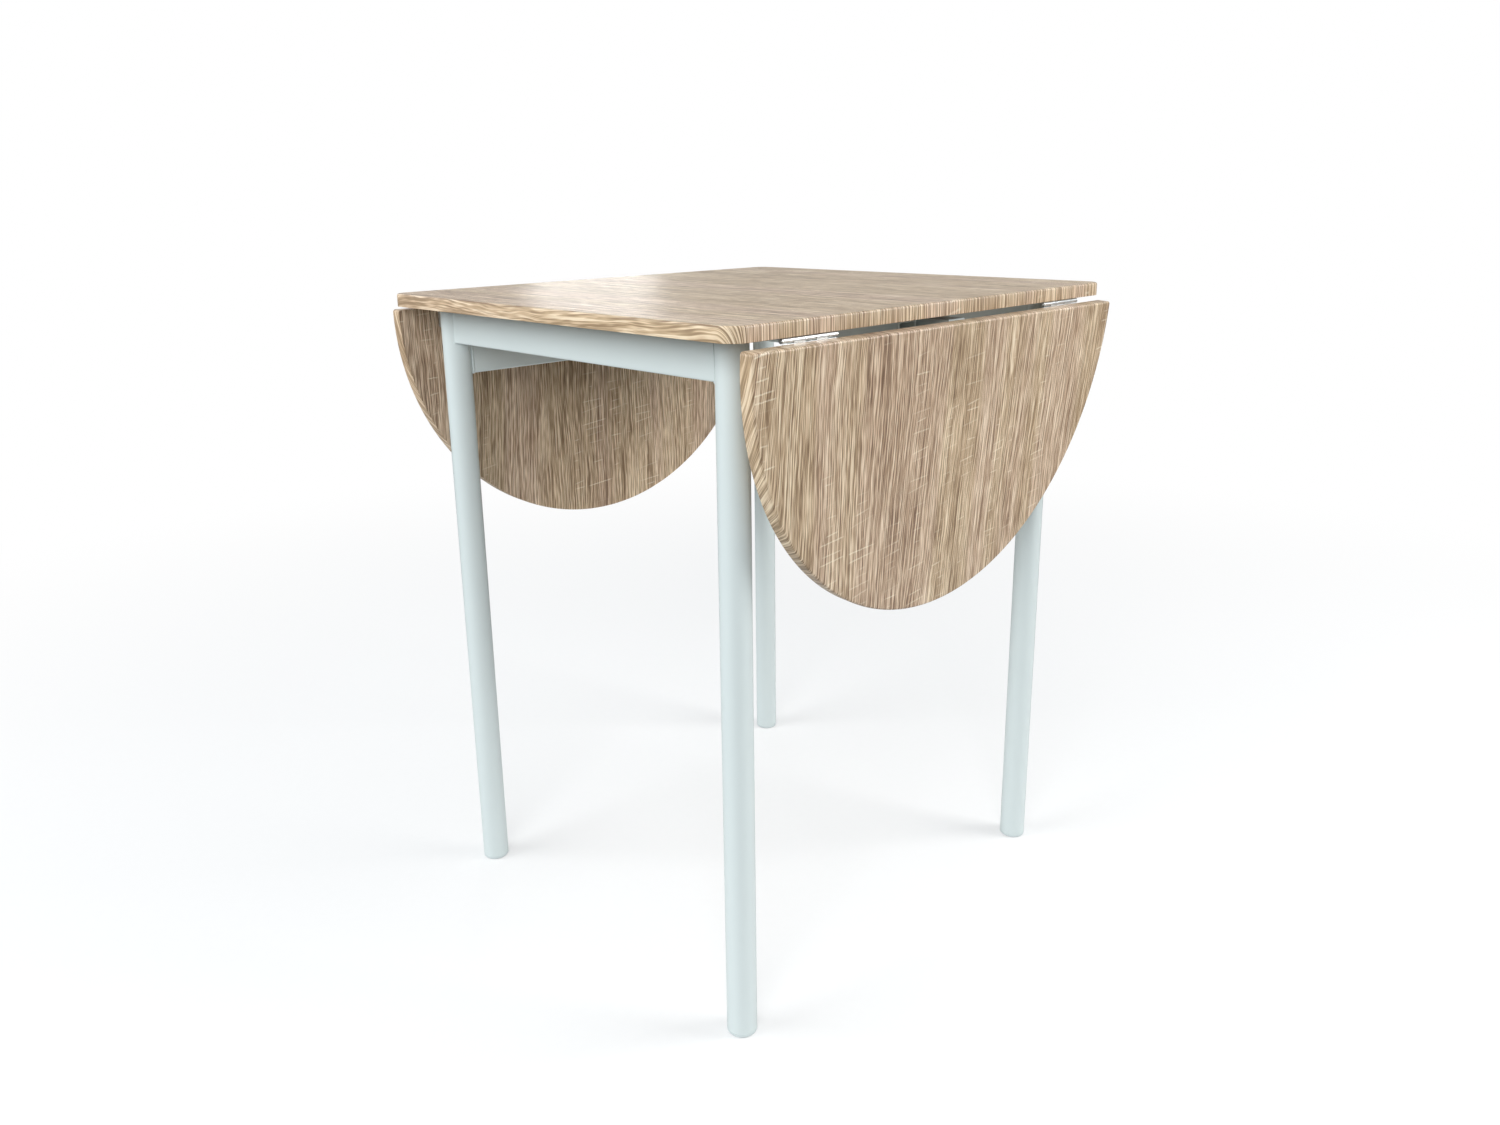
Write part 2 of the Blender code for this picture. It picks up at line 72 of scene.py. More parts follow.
# Colours of the foil from its darkest to its palest line, in its pinker and in its yellower bands
TONES = (0.0, 0.32, 0.62, 1.0)
PINK_FOIL = ((0.20, 0.123, 0.079), (0.40, 0.278, 0.185), (0.63, 0.462, 0.327), (0.90, 0.757, 0.585))
YELLOW_FOIL = ((0.20, 0.125, 0.072), (0.39, 0.278, 0.172), (0.62, 0.463, 0.308), (0.90, 0.763, 0.568))
PORE_COLOR = (0.21, 0.135, 0.085, 1.0)
FLECK_COLOR = (0.93, 0.83, 0.66, 1.0)
# A pale cream that the ±Y edges are mixed toward. It is partly the paler stretched foil and partly painted
# light, standing for the light that falls on the −Y edges.
RIM_PALE_AND_LIGHT = (0.95, 0.72, 0.44, 1.0)

# Flecks in the foil: slant from straight across the grain, and cells to the metre along and across it
FLECK_SLANT = math.radians(-5)
FLECK_CELLS = (100, 22, 0)
FLECK_RAGGED = 0.0012

# Tubes
ROUND_STEPS = 96
SMALL_STEPS = 48
TUBE_EDGE = 0.0003
TUBE_CORNER = 0.0022
TUBE_CORNER_STEPS = 6
RAIL_WALL = 0.0015
CARRIER_WALL = 0.002
LEG_WALL = 0.0012
FOOT_HEAD = 0.004
FOOT_EDGE = 0.0025
FOOT_EDGE_STEPS = 8
ACCESS_HOLE = 0.005
HALF_CUTTER = 0.003

# Joints between tubes. The ripple and the wander of a weld bead are shares of its radius.
SEAM = 0.00006
JOINT_GAP_TOP = 0.0010
JOINT_GAP_BOTTOM = 0.00015
THIN_BEAD = 0.00128
BEAD_SIDES = 16
BEAD_POINTS = 8
BEAD_STEP = 0.0004
BEAD_OVERLAP = 0.0004
BEAD_INSET_X = 0.0008
BEAD_INSET_Z = 0.0004
BEAD_SETBACK = 0.001
BEAD_TUCK = 0.0006
BEAD_LEAST = 0.92
RIPPLE_LENGTH = 0.0016
RIPPLE_SHARE = 0.12
WANDER_CELLS = 350
WANDER_SHARE = 0.10

# Hinges
KNUCKLES = 5
KNUCKLE_GAP = 0.0003
CURL_END = math.radians(-202)
CURL_STEPS = 28
PLATE_THICKNESS = 0.0012
PLATE_INSET = 0.0027
PLATE_CORNER = 0.0025
PLATE_CORNER_STEPS = 6
PLATE_EDGE = 0.00015
PLATE_HOLE_INSET = 0.0167
PLATE_HOLES = (-0.026, 0, 0.026)
PLATE_HOLE_RADIUS = 0.0020
SINK_RADIUS = 0.0031
SINK_EXTRA = 0.0003
RECESS_TURN = 40
TAB_OVERLAP = 0.002

# Fasteners. FIT is a close fit's play and the least radius of a turned profile, EASE is how much an edge is
# eased, and PAST is how far a cutter runs past a face. A head's profile is (radius, height) points, with its
# face first and looking down. A recess's half width and taper are shares of its size. A thread's core is a
# share of its radius.
FIT = 0.0001
EASE = 0.0002
PAST = 0.001
THREAD_STEPS = 8
SCREW_STEPS = 32
HEAD_SINK = 0.00005
PAN_HEAD = [(0.0012, -0.00245), (0.0024, -0.0022), (0.0033, -0.0016), (0.0039, -0.0007), (0.0040, 0.0),
            (0.0019, 0.0)]
PAN_SCREW_LENGTH = 0.0135
PAN_RECESS = 0.0017
FLAT_HEAD = [(0.0027, 0.0), (0.0029, 0.0001), (0.0014, 0.0013)]
FLAT_SCREW_LENGTH = 0.0125
FLAT_RECESS = 0.0013
RECESS_DEPTH = 0.0011
RECESS_HALF_WIDTH = 0.16
RECESS_TAPER = 0.35
THREAD_START = 0.0004
POINT_RISE = 0.4
WOOD_PITCH = 0.0014
WOOD_CORE = 0.68
BOLT_RADIUS = 0.003
BOLT_HOLE = 0.0033
BOLT_PITCH = 0.001
BOLT_CORE = 0.82
BOLT_POINT = 0.0021
BOLT_HEAD_HEIGHT = 0.0028
SOCKET = 0.0022
SOCKET_DEPTH = 0.0018
ARM_EDGE = 0.0006
ARM_END_STEPS = 32
NUT_CHAMFER = 0.0007

# Camera: where it stands, how it is turned, in radians, and its lens
CAMERA_PLACE = (0.9502, -0.9597, 0.8521)
CAMERA_YAW = -0.79
CAMERA_PITCH = -0.2599
CAMERA_ROLL = -0.0132
SENSOR_WIDTH = 36.0
LENS = 26.667
LENS_SHIFT = (0.0046, -0.0451)
NEAREST = 0.05

# Area lights: name, place, target, size, watts and colour
LIGHTS = (
    ("left_window", (-1.3, -2.4, 1.85), (0, 0, 0.45), (2.0, 1.6), 46, (0.97, 0.99, 1.0)),
    ("front_window", (1.6, -2.2, 1.8), (0, 0, 0.40), (1.6, 1.4), 34, (1.0, 1.0, 1.0)),
    ("right_window", (1.8, 1.4, 1.55), (0.2, 0.2, 0.5), (1.2, 1.2), 36, (1.0, 0.99, 0.97)),
    ("back_window", (-2.6, 1.75, 1.05), (0, 0, 0.75), (0.5, 0.4), 4, (1.0, 1.0, 1.0)),
)

# The sky's light on the table, from below the horizon to overhead
SKY_COLOR = (0.93, 0.97, 1.0, 1.0)
SKY_SPAN = (-0.1, 0.9)
SKY_LOW = 0.62
SKY_HIGH = 0.50

# Floor: radii of its rings, its colours to the camera and to other light, and how far out its fade into the
# white background starts and ends
FLOOR_RADII = (0.4, 1.2, 4, 12, 40)
FLOOR_STEPS = 64
FLOOR_PALE = ((0.90, 0.905, 0.91, 1.0), (0.93, 0.935, 0.94, 1.0))
FLOOR_THROWN = (0.86, 0.86, 0.86, 1.0)
FLOOR_FADE = (0.3, 2.4)
WHITE = (1.0, 1.0, 1.0, 1.0)


# ---------------------------------------------------------------- reading the CAD


def box_in(node, placed=Matrix.Identity(4)):
    """Lowest and highest corner of a CAD node in the frame that the matrix places."""
    back = placed.inverted()
    points = [back @ vertex.co for vertex in frame["nodes"][node].data.vertices]
    low = Vector([min(p[i] for p in points) for i in range(3)])
    high = Vector([max(p[i] for p in points) for i in range(3)])
    return low, high


def leaf_place(side):
    """Places an open leaf, which lies along +X from its hinge axis, where it hangs on its side."""
    joint = JOINTS[f"{side}_leaf_fold"]
    hang = math.radians(joint["range_deg"][1])
    axis = SIDES[side].inverted() @ Vector(joint["pos_m"])
    return SIDES[side] @ Matrix.Translation(axis) @ Matrix.Rotation(hang, 4, "Y")


# ---------------------------------------------------------------- meshes


def loft(rings, cap_end=True, closed=False):
    """A bmesh skin over rings of points, all of the same count and direction. Closed joins last to first."""
    bm = bmesh.new()
    rows = [[bm.verts.new(point) for point in ring] for ring in rings]
    count = len(rows[0])
    pairs = list(zip(rows, rows[1:]))
    if closed:
        pairs.append((rows[-1], rows[0]))
    for low, high in pairs:
        for i in range(count):
            j = (i + 1) % count
            bm.faces.new((low[i], low[j], high[j], high[i]))
    if not closed:
        bm.faces.new(list(reversed(rows[0])))
    if cap_end and not closed:
        bm.faces.new(rows[-1])
    return bm


def ring_of(radius, z, steps):
    return [(radius * math.cos(TAU * i / steps), radius * math.sin(TAU * i / steps), z) for i in range(steps)]


def turned(profile, steps=ROUND_STEPS, closed=False):
    """A profile of (radius, z) points turned about Z. It runs up its outer side and stays off the axis."""
    return loft([ring_of(radius, z, steps) for radius, z in profile], closed=closed)


def arc(centre, radius, start, end, steps):
    """Points on an arc round a 2D centre, both ends included. Angles are in degrees."""
    angles = [math.radians(start + (end - start) * i / steps) for i in range(steps + 1)]
    return [(centre[0] + radius * math.cos(a), centre[1] + radius * math.sin(a)) for a in angles]


def rounded_rectangle(half_x, half_y, radius, steps):
    """Points of an outline round the origin, anticlockwise from +X, each with its outward normal."""
    outline = []
    for sign_x, sign_y, start in ((1, 1, 0), (-1, 1, 90), (-1, -1, 180), (1, -1, 270)):
        centre = (sign_x * (half_x - radius), sign_y * (half_y - radius))
        normals = arc((0, 0), 1, start, start + 90, steps)
        outline += [((centre[0] + radius * n[0], centre[1] + radius * n[1]), n) for n in normals]
    return outline


def mesh_from(bm, name, placed=Matrix.Identity(4), sharp=35):
    """Finishes a bmesh: faces pointing out, smooth shading with sharp edges, placed in the row frame."""
    bmesh.ops.recalc_face_normals(bm, faces=bm.faces)
    bmesh.ops.transform(bm, matrix=placed, verts=bm.verts)
    mesh = bpy.data.meshes.new(name)
    bm.to_mesh(mesh)
    bm.free()
    mesh.shade_smooth()
    mesh.set_sharp_from_angle(angle=math.radians(sharp))
    return mesh


def boolean(base, tools, operation):
    """The base mesh cut with the tool meshes, or joined to them, as a new bmesh."""
    target = bpy.data.objects.new("target", base)
    bpy.context.scene.collection.objects.link(target)
    used = [target]
    for tool in tools:
        obj = bpy.data.objects.new("tool", tool)
        bpy.context.scene.collection.objects.link(obj)
        modifier = target.modifiers.new(operation, "BOOLEAN")
        modifier.operation = operation
        modifier.solver = "EXACT"
        modifier.object = obj
        used.append(obj)
    bpy.context.view_layer.update()
    graph = bpy.context.evaluated_depsgraph_get()
    bm = bmesh.new()
    bm.from_mesh(target.evaluated_get(graph).data)
    for obj in used:
        bpy.data.objects.remove(obj, do_unlink=True)
    return bm


def piece(name, mesh, body, material, slot, *replaced):
    """Shows a mesh as a piece that rides on a body and stands for the CAD nodes named last."""
    obj = bpy.data.objects.new(name, mesh)
    bpy.context.scene.collection.objects.link(obj)
    mesh.materials.append(material)
    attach(obj, body)
    if replaced:
        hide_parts(*replaced)


# ---------------------------------------------------------------- node trees


class Tree:
    """A material's node tree. Most methods add a node or a few and return an output socket."""

    def __init__(self, name, **fixed):
        self.material = bpy.data.materials.new(name)
        self.material.use_nodes = True
        self.tree = self.material.node_tree
        self.shader = self.tree.nodes["Principled BSDF"]
        for socket, value in fixed.items():
            self.shader.inputs[socket.replace("_", " ")].default_value = value

    def add(self, kind, inputs, output=0, **settings):
        node = self.tree.nodes.new("ShaderNode" + kind)
        for key, value in settings.items():
            setattr(node, key, value)
        for key, value in inputs.items():
            if isinstance(value, bpy.types.NodeSocket):
                self.tree.links.new(value, node.inputs[key])
            else:
                node.inputs[key].default_value = value
        return node.outputs[output]

    def total(self, base, *weighted):
        """The base plus each (socket, gain) pair's socket times its gain. The sockets are noise about 0.5."""
        result = base
        for socket, gain in weighted:
            result = self.math("MULTIPLY_ADD", self.math("SUBTRACT", socket, 0.5), gain, result)
        return result

    def math(self, operation, first, second=0.0, third=0.0):
        return self.add("Math", {0: first, 1: second, 2: third}, operation=operation)

    def product(self, first, *others):
        """All the sockets multiplied."""
        for other in others:
            first = self.math("MULTIPLY", first, other)
        return first

    def place(self, vector, scale, offset=(0, 0, 0)):
        """The vector times a scale plus an offset, axis by axis."""
        return self.add("VectorMath", {0: vector, 1: scale, 2: offset}, operation="MULTIPLY_ADD")

    def part(self, vector, axis):
        """One axis of a vector: X, Y or Z."""
        return self.add("SeparateXYZ", {0: vector}, output=axis)

    def noise(self, vector, detail=2.0, roughness=0.5, dimensions="3D"):
        inputs = {"Vector": vector, "Scale": 1.0, "Detail": detail, "Roughness": roughness}
        return self.add("TexNoise", inputs, noise_dimensions=dimensions)

    def flat_noise(self, vector, cells, offset=(0, 0), detail=1.0, roughness=0.5):
        """Noise in the plane, with so many cells to the unit along X and along Y."""
        return self.noise(self.place(vector, (*cells, 0), (*offset, 0)), detail, roughness, "2D")

    def step(self, value, low, high):
        """A smooth step from 0 at low to 1 at high."""
        inputs = {"Value": value, "From Min": low, "From Max": high}
        return self.add("MapRange", inputs, interpolation_type="SMOOTHSTEP")

    def span(self, value, low, high):
        """A value of 0 to 1 spread over low to high."""
        return self.add("MapRange", {"Value": value, "To Min": low, "To Max": high})

    def mix(self, factor, first, second):
        """Two colours mixed, all of the second one at a factor of 1."""
        return self.add("Mix", {0: factor, 6: first, 7: second}, output=2, data_type="RGBA")

    def ramp(self, value, stops):
        """A colour ramp from (place, colour) stops."""
        socket = self.add("ValToRGB", {"Fac": value})
        elements = socket.node.color_ramp.elements
        while len(elements) < len(stops):
            elements.new(0.5)
        for element, (where, color) in zip(elements, stops):
            element.position = where
            element.color = (*color, 1.0)
        return socket

    def object_place(self, scale, offset=(0, 0, 0)):
        """Coordinates that stay with the object, in metres, times a scale plus an offset."""
        return self.place(self.add("TexCoord", {}, output="Object"), scale, offset)

    def color(self, socket):
        self.tree.links.new(socket, self.shader.inputs["Base Color"])

    def roughness(self, socket):
        self.tree.links.new(socket, self.shader.inputs["Roughness"])

    def bump(self, height, distance, strength=1.0):
        inputs = {"Height": height, "Distance": distance, "Strength": strength}
        self.tree.links.new(self.add("Bump", inputs, output="Normal"), self.shader.inputs["Normal"])


def wandering(t, foil):
    """The foil's map with its grain lines wandering a little from straight."""
    moved = t.math("MULTIPLY_ADD", t.flat_noise(foil, (2.4, 5.5)), 0.034, t.part(foil, "Y"))
    moved = t.math("MULTIPLY_ADD", t.flat_noise(foil, (17, 60), (3.1, 0)), 0.0030, moved)
    return t.add("CombineXYZ", {0: t.part(foil, "X"), 1: moved})


def foil_flecks(t, foil, grain):
    """Pale flecks: short lines across the grain, one to a cell of a slanted grid, kept in a few columns."""
    slanted = t.add("VectorRotate", {"Vector": foil, "Angle": FLECK_SLANT}, rotation_type="Z_AXIS")
    ragged = t.math("MULTIPLY", t.flat_noise(foil, (0, 260)), FLECK_RAGGED)
    shifted = t.add("VectorMath", {0: slanted, 1: t.add("CombineXYZ", {0: ragged})}, operation="ADD")
    cells = t.place(shifted, FLECK_CELLS)
    corner = t.add("VectorMath", {0: cells}, operation="FLOOR")
    inside = t.add("VectorMath", {0: cells}, operation="FRACTION")
    luck = t.add("TexWhiteNoise", {"Vector": corner}, output="Color", noise_dimensions="2D")
    chance, length, tilt = (t.part(luck, axis) for axis in "XYZ")

    # Each cell's line has a place, a length, a tilt and a strength of its own.
    sideways = t.math("SUBTRACT", t.part(inside, "Y"), 0.5)
    line = t.math("MULTIPLY_ADD", sideways, t.span(tilt, -0.5, 0.3), t.span(chance, 0.25, 0.75))
    off_line = t.math("ABSOLUTE", t.math("SUBTRACT", t.part(inside, "X"), line))
    past_end = t.math("SUBTRACT", t.math("ABSOLUTE", sideways), t.span(length, 0.05, 0.50))
    fleck = t.math("MULTIPLY", t.step(off_line, 0.11, 0.03), t.step(past_end, 0.0, -0.14))
    strength = t.span(t.math("FRACT", t.math("MULTIPLY", length, 7.0)), 0.0, 0.9)
    column = t.step(t.flat_noise(grain, (2.0, 13), (2.0, 8.4)), 0.50, 0.57)
    return t.product(fleck, strength, column)


def oak_foil():
    """Printed oak foil. The map "foil" is in metres, u along the grain; "rim" says how stretched it is, and
    it also sets the painted light on the ±Y edges.
    """
    t = Tree("oak_foil", Specular_IOR_Level=0.42)
    foil = t.add("UVMap", {}, uv_map="foil")
    rim = t.add("Attribute", {}, output="Fac", attribute_name="rim")
    grain = wandering(t, foil)

    # From broad to fine. The strands are bolder in some places than in others.
    bands = t.flat_noise(grain, (0.5, 19), detail=2.0, roughness=0.6)
    hue = t.flat_noise(grain, (0.5, 15), (7.7, 2.3))
    lines = t.flat_noise(grain, (1.6, 260), (1.9, 5.1), 2.0, 0.8)
    strands = t.flat_noise(grain, (6, 460), (0.3, 4.2), 1.0, 0.6)
    fibres = t.flat_noise(grain, (11, 640), detail=2.0, roughness=0.8)
    nap = t.flat_noise(grain, (60, 700), (4.6, 0.9), 0.0)
    boldness = t.span(t.flat_noise(grain, (2.5, 22), (5.5, 1.4)), 0.55, 1.45)
    sharp_strands = t.step(strands, 0.42, 0.58)
    strand = t.math("MULTIPLY_ADD", t.math("SUBTRACT", sharp_strands, 0.5), boldness, 0.5)
    fibre = t.step(fibres, 0.44, 0.56)
    tone = t.total(0.50, (bands, 0.46), (lines, 0.42), (strand, 0.22), (fibre, 0.56), (nap, 0.50))
    # Over the edge, where the foil is stretched, the grain shows as bolder wavy lines.
    veins = t.step(t.flat_noise(grain, (11, 330), (6.2, 0.4), 1.0, 0.6), 0.40, 0.60)
    tone = t.math("MULTIPLY_ADD", t.math("MULTIPLY", t.math("SUBTRACT", veins, 0.55), rim), 0.50, tone)
    pink, yellow = (t.ramp(tone, list(zip(TONES, colors))) for colors in (PINK_FOIL, YELLOW_FOIL))
    color = t.mix(t.step(hue, 0.42, 0.58), pink, yellow)

    # Long thin dark streaks and short dark pores.
    streaks = t.flat_noise(grain, (3.0, 240), (9.4, 0.7))
    pores = t.flat_noise(grain, (12, 480), (2.4, 3.7))
    pore = t.math("MAXIMUM", t.step(streaks, 0.66, 0.74), t.step(pores, 0.66, 0.76))
    color = t.mix(t.math("MULTIPLY", pore, 0.30), color, PORE_COLOR)

    # The grain breaks up the flecks, and the boards' edges have none.
    fleck = t.product(foil_flecks(t, foil, grain), t.span(fibre, 0.55, 1.0), t.span(sharp_strands, 0.65, 1.0),
                      t.step(rim, 0.2, 0.0))
    color = t.mix(fleck, color, FLECK_COLOR)
    # Mixing the ±Y edges toward the pale cream is partly the paler stretched foil and partly painted light.
    t.color(t.mix(t.math("MULTIPLY", rim, 0.22), color, RIM_PALE_AND_LIGHT))

    relief = t.total(0.5, (strands, 0.8), (fibres, 0.6), (pore, -0.5))
    t.roughness(t.span(relief, 0.50, 0.34))
    t.bump(relief, 0.00025, 0.8)
    return t.material


def powder_coat():
    """Satin powder coat on steel, with a fine orange-peel surface."""
    t = Tree("powder_coat", Coat_Weight=0.25, Coat_Roughness=0.12)
    cloud = t.noise(t.object_place((6, 6, 3)), 2.0)
    grit = t.noise(t.object_place((2400, 2400, 2400)), 1.0)
    peel = t.noise(t.object_place((420, 420, 420)), 2.0)
    base = t.mix(cloud, (0.690, 0.770, 0.770, 1.0), (0.725, 0.805, 0.805, 1.0))
    t.color(t.mix(t.math("MULTIPLY", t.step(grit, 0.66, 0.74), 0.12), base, (0.45, 0.50, 0.51, 1.0)))
    t.roughness(t.span(t.noise(t.object_place((35, 35, 12)), 3.0), 0.33, 0.43))
    t.bump(t.math("MULTIPLY_ADD", grit, 0.25, peel), 0.00010, 0.35)
    return t.material


def zinc_plate():
    """Bright zinc plating, faintly cloudy, with fine rolling lines along Y."""
    t = Tree("zinc_plate", Metallic=1.0)
    cloud = t.noise(t.object_place((70, 40, 70)), 3.0, 0.6)
    rolled = t.noise(t.object_place((2600, 60, 2600)), 2.0)
    t.color(t.mix(cloud, (0.62, 0.65, 0.67, 1.0), (0.82, 0.83, 0.82, 1.0)))
    t.roughness(t.span(t.math("MULTIPLY_ADD", rolled, 0.4, t.math("MULTIPLY", cloud, 0.6)), 0.20, 0.40))
    t.bump(rolled, 0.00004, 0.4)
    return t.material


def moulded(name, dark, light):
    """Moulded plastic with a fine spark-eroded grain."""
    t = Tree(name)
    grain = t.noise(t.object_place((1500, 1500, 1500)), 2.0, 0.6)
    cloud = t.noise(t.object_place((40, 40, 40)), 2.0)
    t.color(t.mix(t.math("MULTIPLY_ADD", grain, 0.4, t.math("MULTIPLY", cloud, 0.6)), dark, light))
    t.roughness(t.span(grain, 0.42, 0.60))
    t.bump(grain, 0.00006, 0.5)
    return t.material


def weld_coat():
    """Powder coat over a weld bead: rougher, with small craters whose hollows are darkened by painted shade.
    """
    t = Tree("weld_coat", Coat_Weight=0.2, Coat_Roughness=0.2)
    lumps = t.noise(t.object_place((900, 900, 900)), 3.0, 0.6)
    pits = t.step(t.noise(t.object_place((1900, 1900, 1900), (5, 0, 0)), 1.0), 0.62, 0.72)
    base = t.mix(lumps, (0.61, 0.68, 0.685, 1.0), (0.70, 0.78, 0.785, 1.0))
    # The craters are mixed toward a dark grey: painted shade in their hollows.
    t.color(t.mix(t.math("MULTIPLY", pits, 0.5), base, (0.36, 0.40, 0.41, 1.0)))
    t.roughness(t.span(lumps, 0.35, 0.55))
    t.bump(t.math("MULTIPLY_ADD", pits, -0.6, lumps), 0.00025, 0.6)
    return t.material


OAK = oak_foil()
COAT = powder_coat()
WELD = weld_coat()
ZINC = zinc_plate()
PLASTIC = moulded("pale_plastic", (0.63, 0.705, 0.71, 1.0), (0.71, 0.785, 0.79, 1.0))
NYLON = moulded("nylon", (0.70, 0.69, 0.63, 1.0), (0.80, 0.79, 0.73, 1.0))


# ---------------------------------------------------------------- boards


def board_rings(low_z, high_z):
    """Rings round a board's edge, from its upper to its lower face.

    Each is how far inside the outline it lies, its height, how far the foil has run on, and the share of its
    stretch.
    """
    turn = [math.radians(90 * i / ROUNDING_STEPS) for i in range(ROUNDING_STEPS + 1)]
    rings = [(UPPER_ROUNDING + SUPPORT_LOOP, high_z, -SUPPORT_LOOP, 0.0)]
    for a in turn:
        inset = UPPER_ROUNDING * (1 - math.sin(a))
        run = UPPER_ROUNDING * a * FOIL_STRETCH
        rings.append((inset, high_z - UPPER_ROUNDING * (1 - math.cos(a)), run, a / turn[-1]))
    wall_run = rings[-1][2]
    drop = high_z - low_z - UPPER_ROUNDING - LOWER_ROUNDING
    for a in turn:
        inset = LOWER_ROUNDING * (1 - math.cos(a))
        run = wall_run + (drop + LOWER_ROUNDING * a) * FOIL_STRETCH
        rings.append((inset, low_z + LOWER_ROUNDING * (1 - math.sin(a)), run, 1.0))
    rings.append((LOWER_ROUNDING + SUPPORT_LOOP, low_z, 0, 0.0))
    return rings


def board(name, outline, low_z, high_z, foil_place, placed=Matrix.Identity(4)):
    """A foil-wrapped board over an outline of points with outward normals.

    The foil lies flat on the upper face and is drawn down over the edge, so at the edge its map runs on
    outwards along the normal. The lower face has foil of its own.
    """
    rings = board_rings(low_z, high_z)
    bm = bmesh.new()
    foil = bm.loops.layers.uv.new("foil")
    rim = bm.verts.layers.float.new("rim")
    rows = []
    for inset, z, _, share in rings:
        row = [bm.verts.new((x - n[0] * inset, y - n[1] * inset, z)) for (x, y), n in outline]
        for vertex, (_, n) in zip(row, outline):
            # Only edges facing ±Y get a rim share, so only they get the bolder veins and the painted light.
            vertex[rim] = share * n[1] ** 2
        rows.append(row)

    def upper(i, k):
        """Where the foil of the upper face and the edge lies, at point i of ring k."""
        (x, y), n = outline[i]
        run = rings[k][2] - UPPER_ROUNDING
        return x + n[0] * run + foil_place[0], y + n[1] * run + foil_place[1]

    def lower(vertex):
        """Where the foil of the lower face lies."""
        u = vertex.co.x + foil_place[0] + LOWER_FOIL_SHIFT[0]
        return u, -vertex.co.y + foil_place[1] + LOWER_FOIL_SHIFT[1]

    count = len(outline)
    last = len(rows) - 1
    for k in range(last):
        for i in range(count):
            j = (i + 1) % count
            corners = ((i, k), (j, k), (j, k + 1), (i, k + 1))
            face = bm.faces.new([rows[b][a] for a, b in corners])
            for loop, (a, b) in zip(face.loops, corners):
                loop[foil].uv = lower(loop.vert) if k == last - 1 else upper(a, b)
    face = bm.faces.new(list(reversed(rows[0])))
    for loop in face.loops:
        loop[foil].uv = (loop.vert.co.x + foil_place[0], loop.vert.co.y + foil_place[1])
    face = bm.faces.new(rows[-1])
    for loop in face.loops:
        loop[foil].uv = lower(loop.vert)
    return mesh_from(bm, name, placed, sharp=60)


def make_top():
    low, high = box_in("top_panel")
    outline = rounded_rectangle(high.x, high.y, CORNER_RADIUS, CORNER_STEPS)
    mesh = board("top_panel_foil", outline, low.z, high.z, FOIL_PLACES["top_panel"])
    piece("top_board", mesh, "frame", OAK, "oak_foil", "top_panel")


def leaf_outline(low, high):
    """Half an ellipse, its straight edge at the low x and its corners rounded, with outward normals."""
    depth = high.x - low.x
    half_width = high.y
    outline = []
    for i in range(LEAF_STEPS + 1):
        a = math.pi * (i / LEAF_STEPS - 0.5)
        normal = Vector((half_width * math.cos(a), depth * math.sin(a))).normalized()
        point = (low.x + depth * math.cos(a), half_width * math.sin(a))
        outline.append((point, tuple(normal)))
    # Small rounded corners lead into the straight edge.
    start, end = outline[0], outline[-1]
    outline = outline[1:-1]
    for (_, y), sign in ((end[0], 1), (start[0], -1)):
        centre = (low.x + LEAF_CORNER, y - sign * LEAF_CORNER)
        first = 90 if sign > 0 else 180
        for n in arc((0, 0), 1, first, first + 90, LEAF_CORNER_STEPS):
            outline.append(((centre[0] + LEAF_CORNER * n[0], centre[1] + LEAF_CORNER * n[1]), n))
    return outline


def make_leaf(side):
    node = f"leaf_{side}"
    placed = leaf_place(side)
    low, high = box_in(node, placed)
    mesh = board(f"{node}_foil", leaf_outline(low, high), low.z, high.z, FOIL_PLACES[node], placed)
    piece(f"leaf_board_{side}", mesh, f"{side}_leaf", OAK, "oak_foil", node)


# ---------------------------------------------------------------- frame


def centre_of(low, high):
    """Moves the origin under the middle of a box, keeping its height."""
    return Matrix.Translation(((low.x + high.x) / 2, (low.y + high.y) / 2, 0))


def make_leg(end, side):
    name = f"{end}_{side}"
    low, high = box_in(f"leg_{name}")
    placed = centre_of(low, high)
    radius = (high.x - low.x) / 2
    inner = radius - LEG_WALL
    bottom = FOOT_HEAD + SEAM
    edge = TUBE_EDGE
    profile = [(inner, bottom), (radius - edge, bottom), (radius, bottom + edge)]
    profile += [(radius, high.z - edge), (radius - edge, high.z), (inner, high.z)]
    tube = mesh_from(turned(profile, closed=True), f"leg_{name}", placed)
    piece(f"leg_tube_{name}", tube, "frame", COAT, "frame_paint", f"leg_{name}")

    stem = inner - FIT
    stem_top = box_in(f"foot_{name}")[1].z
    round_edge = arc((radius - FOOT_EDGE, FOOT_EDGE), FOOT_EDGE, -90, 0, FOOT_EDGE_STEPS)
    profile = [(FIT, 0), *round_edge, (radius, FOOT_HEAD)]
    profile += [(stem, FOOT_HEAD), (stem, stem_top), (FIT, stem_top)]
    foot = mesh_from(turned(profile), f"foot_{name}", placed)
    piece(f"foot_cap_{name}", foot, "frame", PLASTIC, "pale_plastic", f"foot_{name}")

    plug_low, plug_high = box_in(f"leg_plug_{name}")
    seat = high.z + SEAM
    profile = [(FIT, plug_low.z), (stem, plug_low.z), (stem, seat), (radius, seat)]
    profile += [(radius, plug_high.z - edge), (radius - edge, plug_high.z), (FIT, plug_high.z)]
    plug = mesh_from(turned(profile), f"leg_plug_{name}", placed)
    piece(f"leg_cap_{name}", plug, "frame", PLASTIC, "pale_plastic", f"leg_plug_{name}")


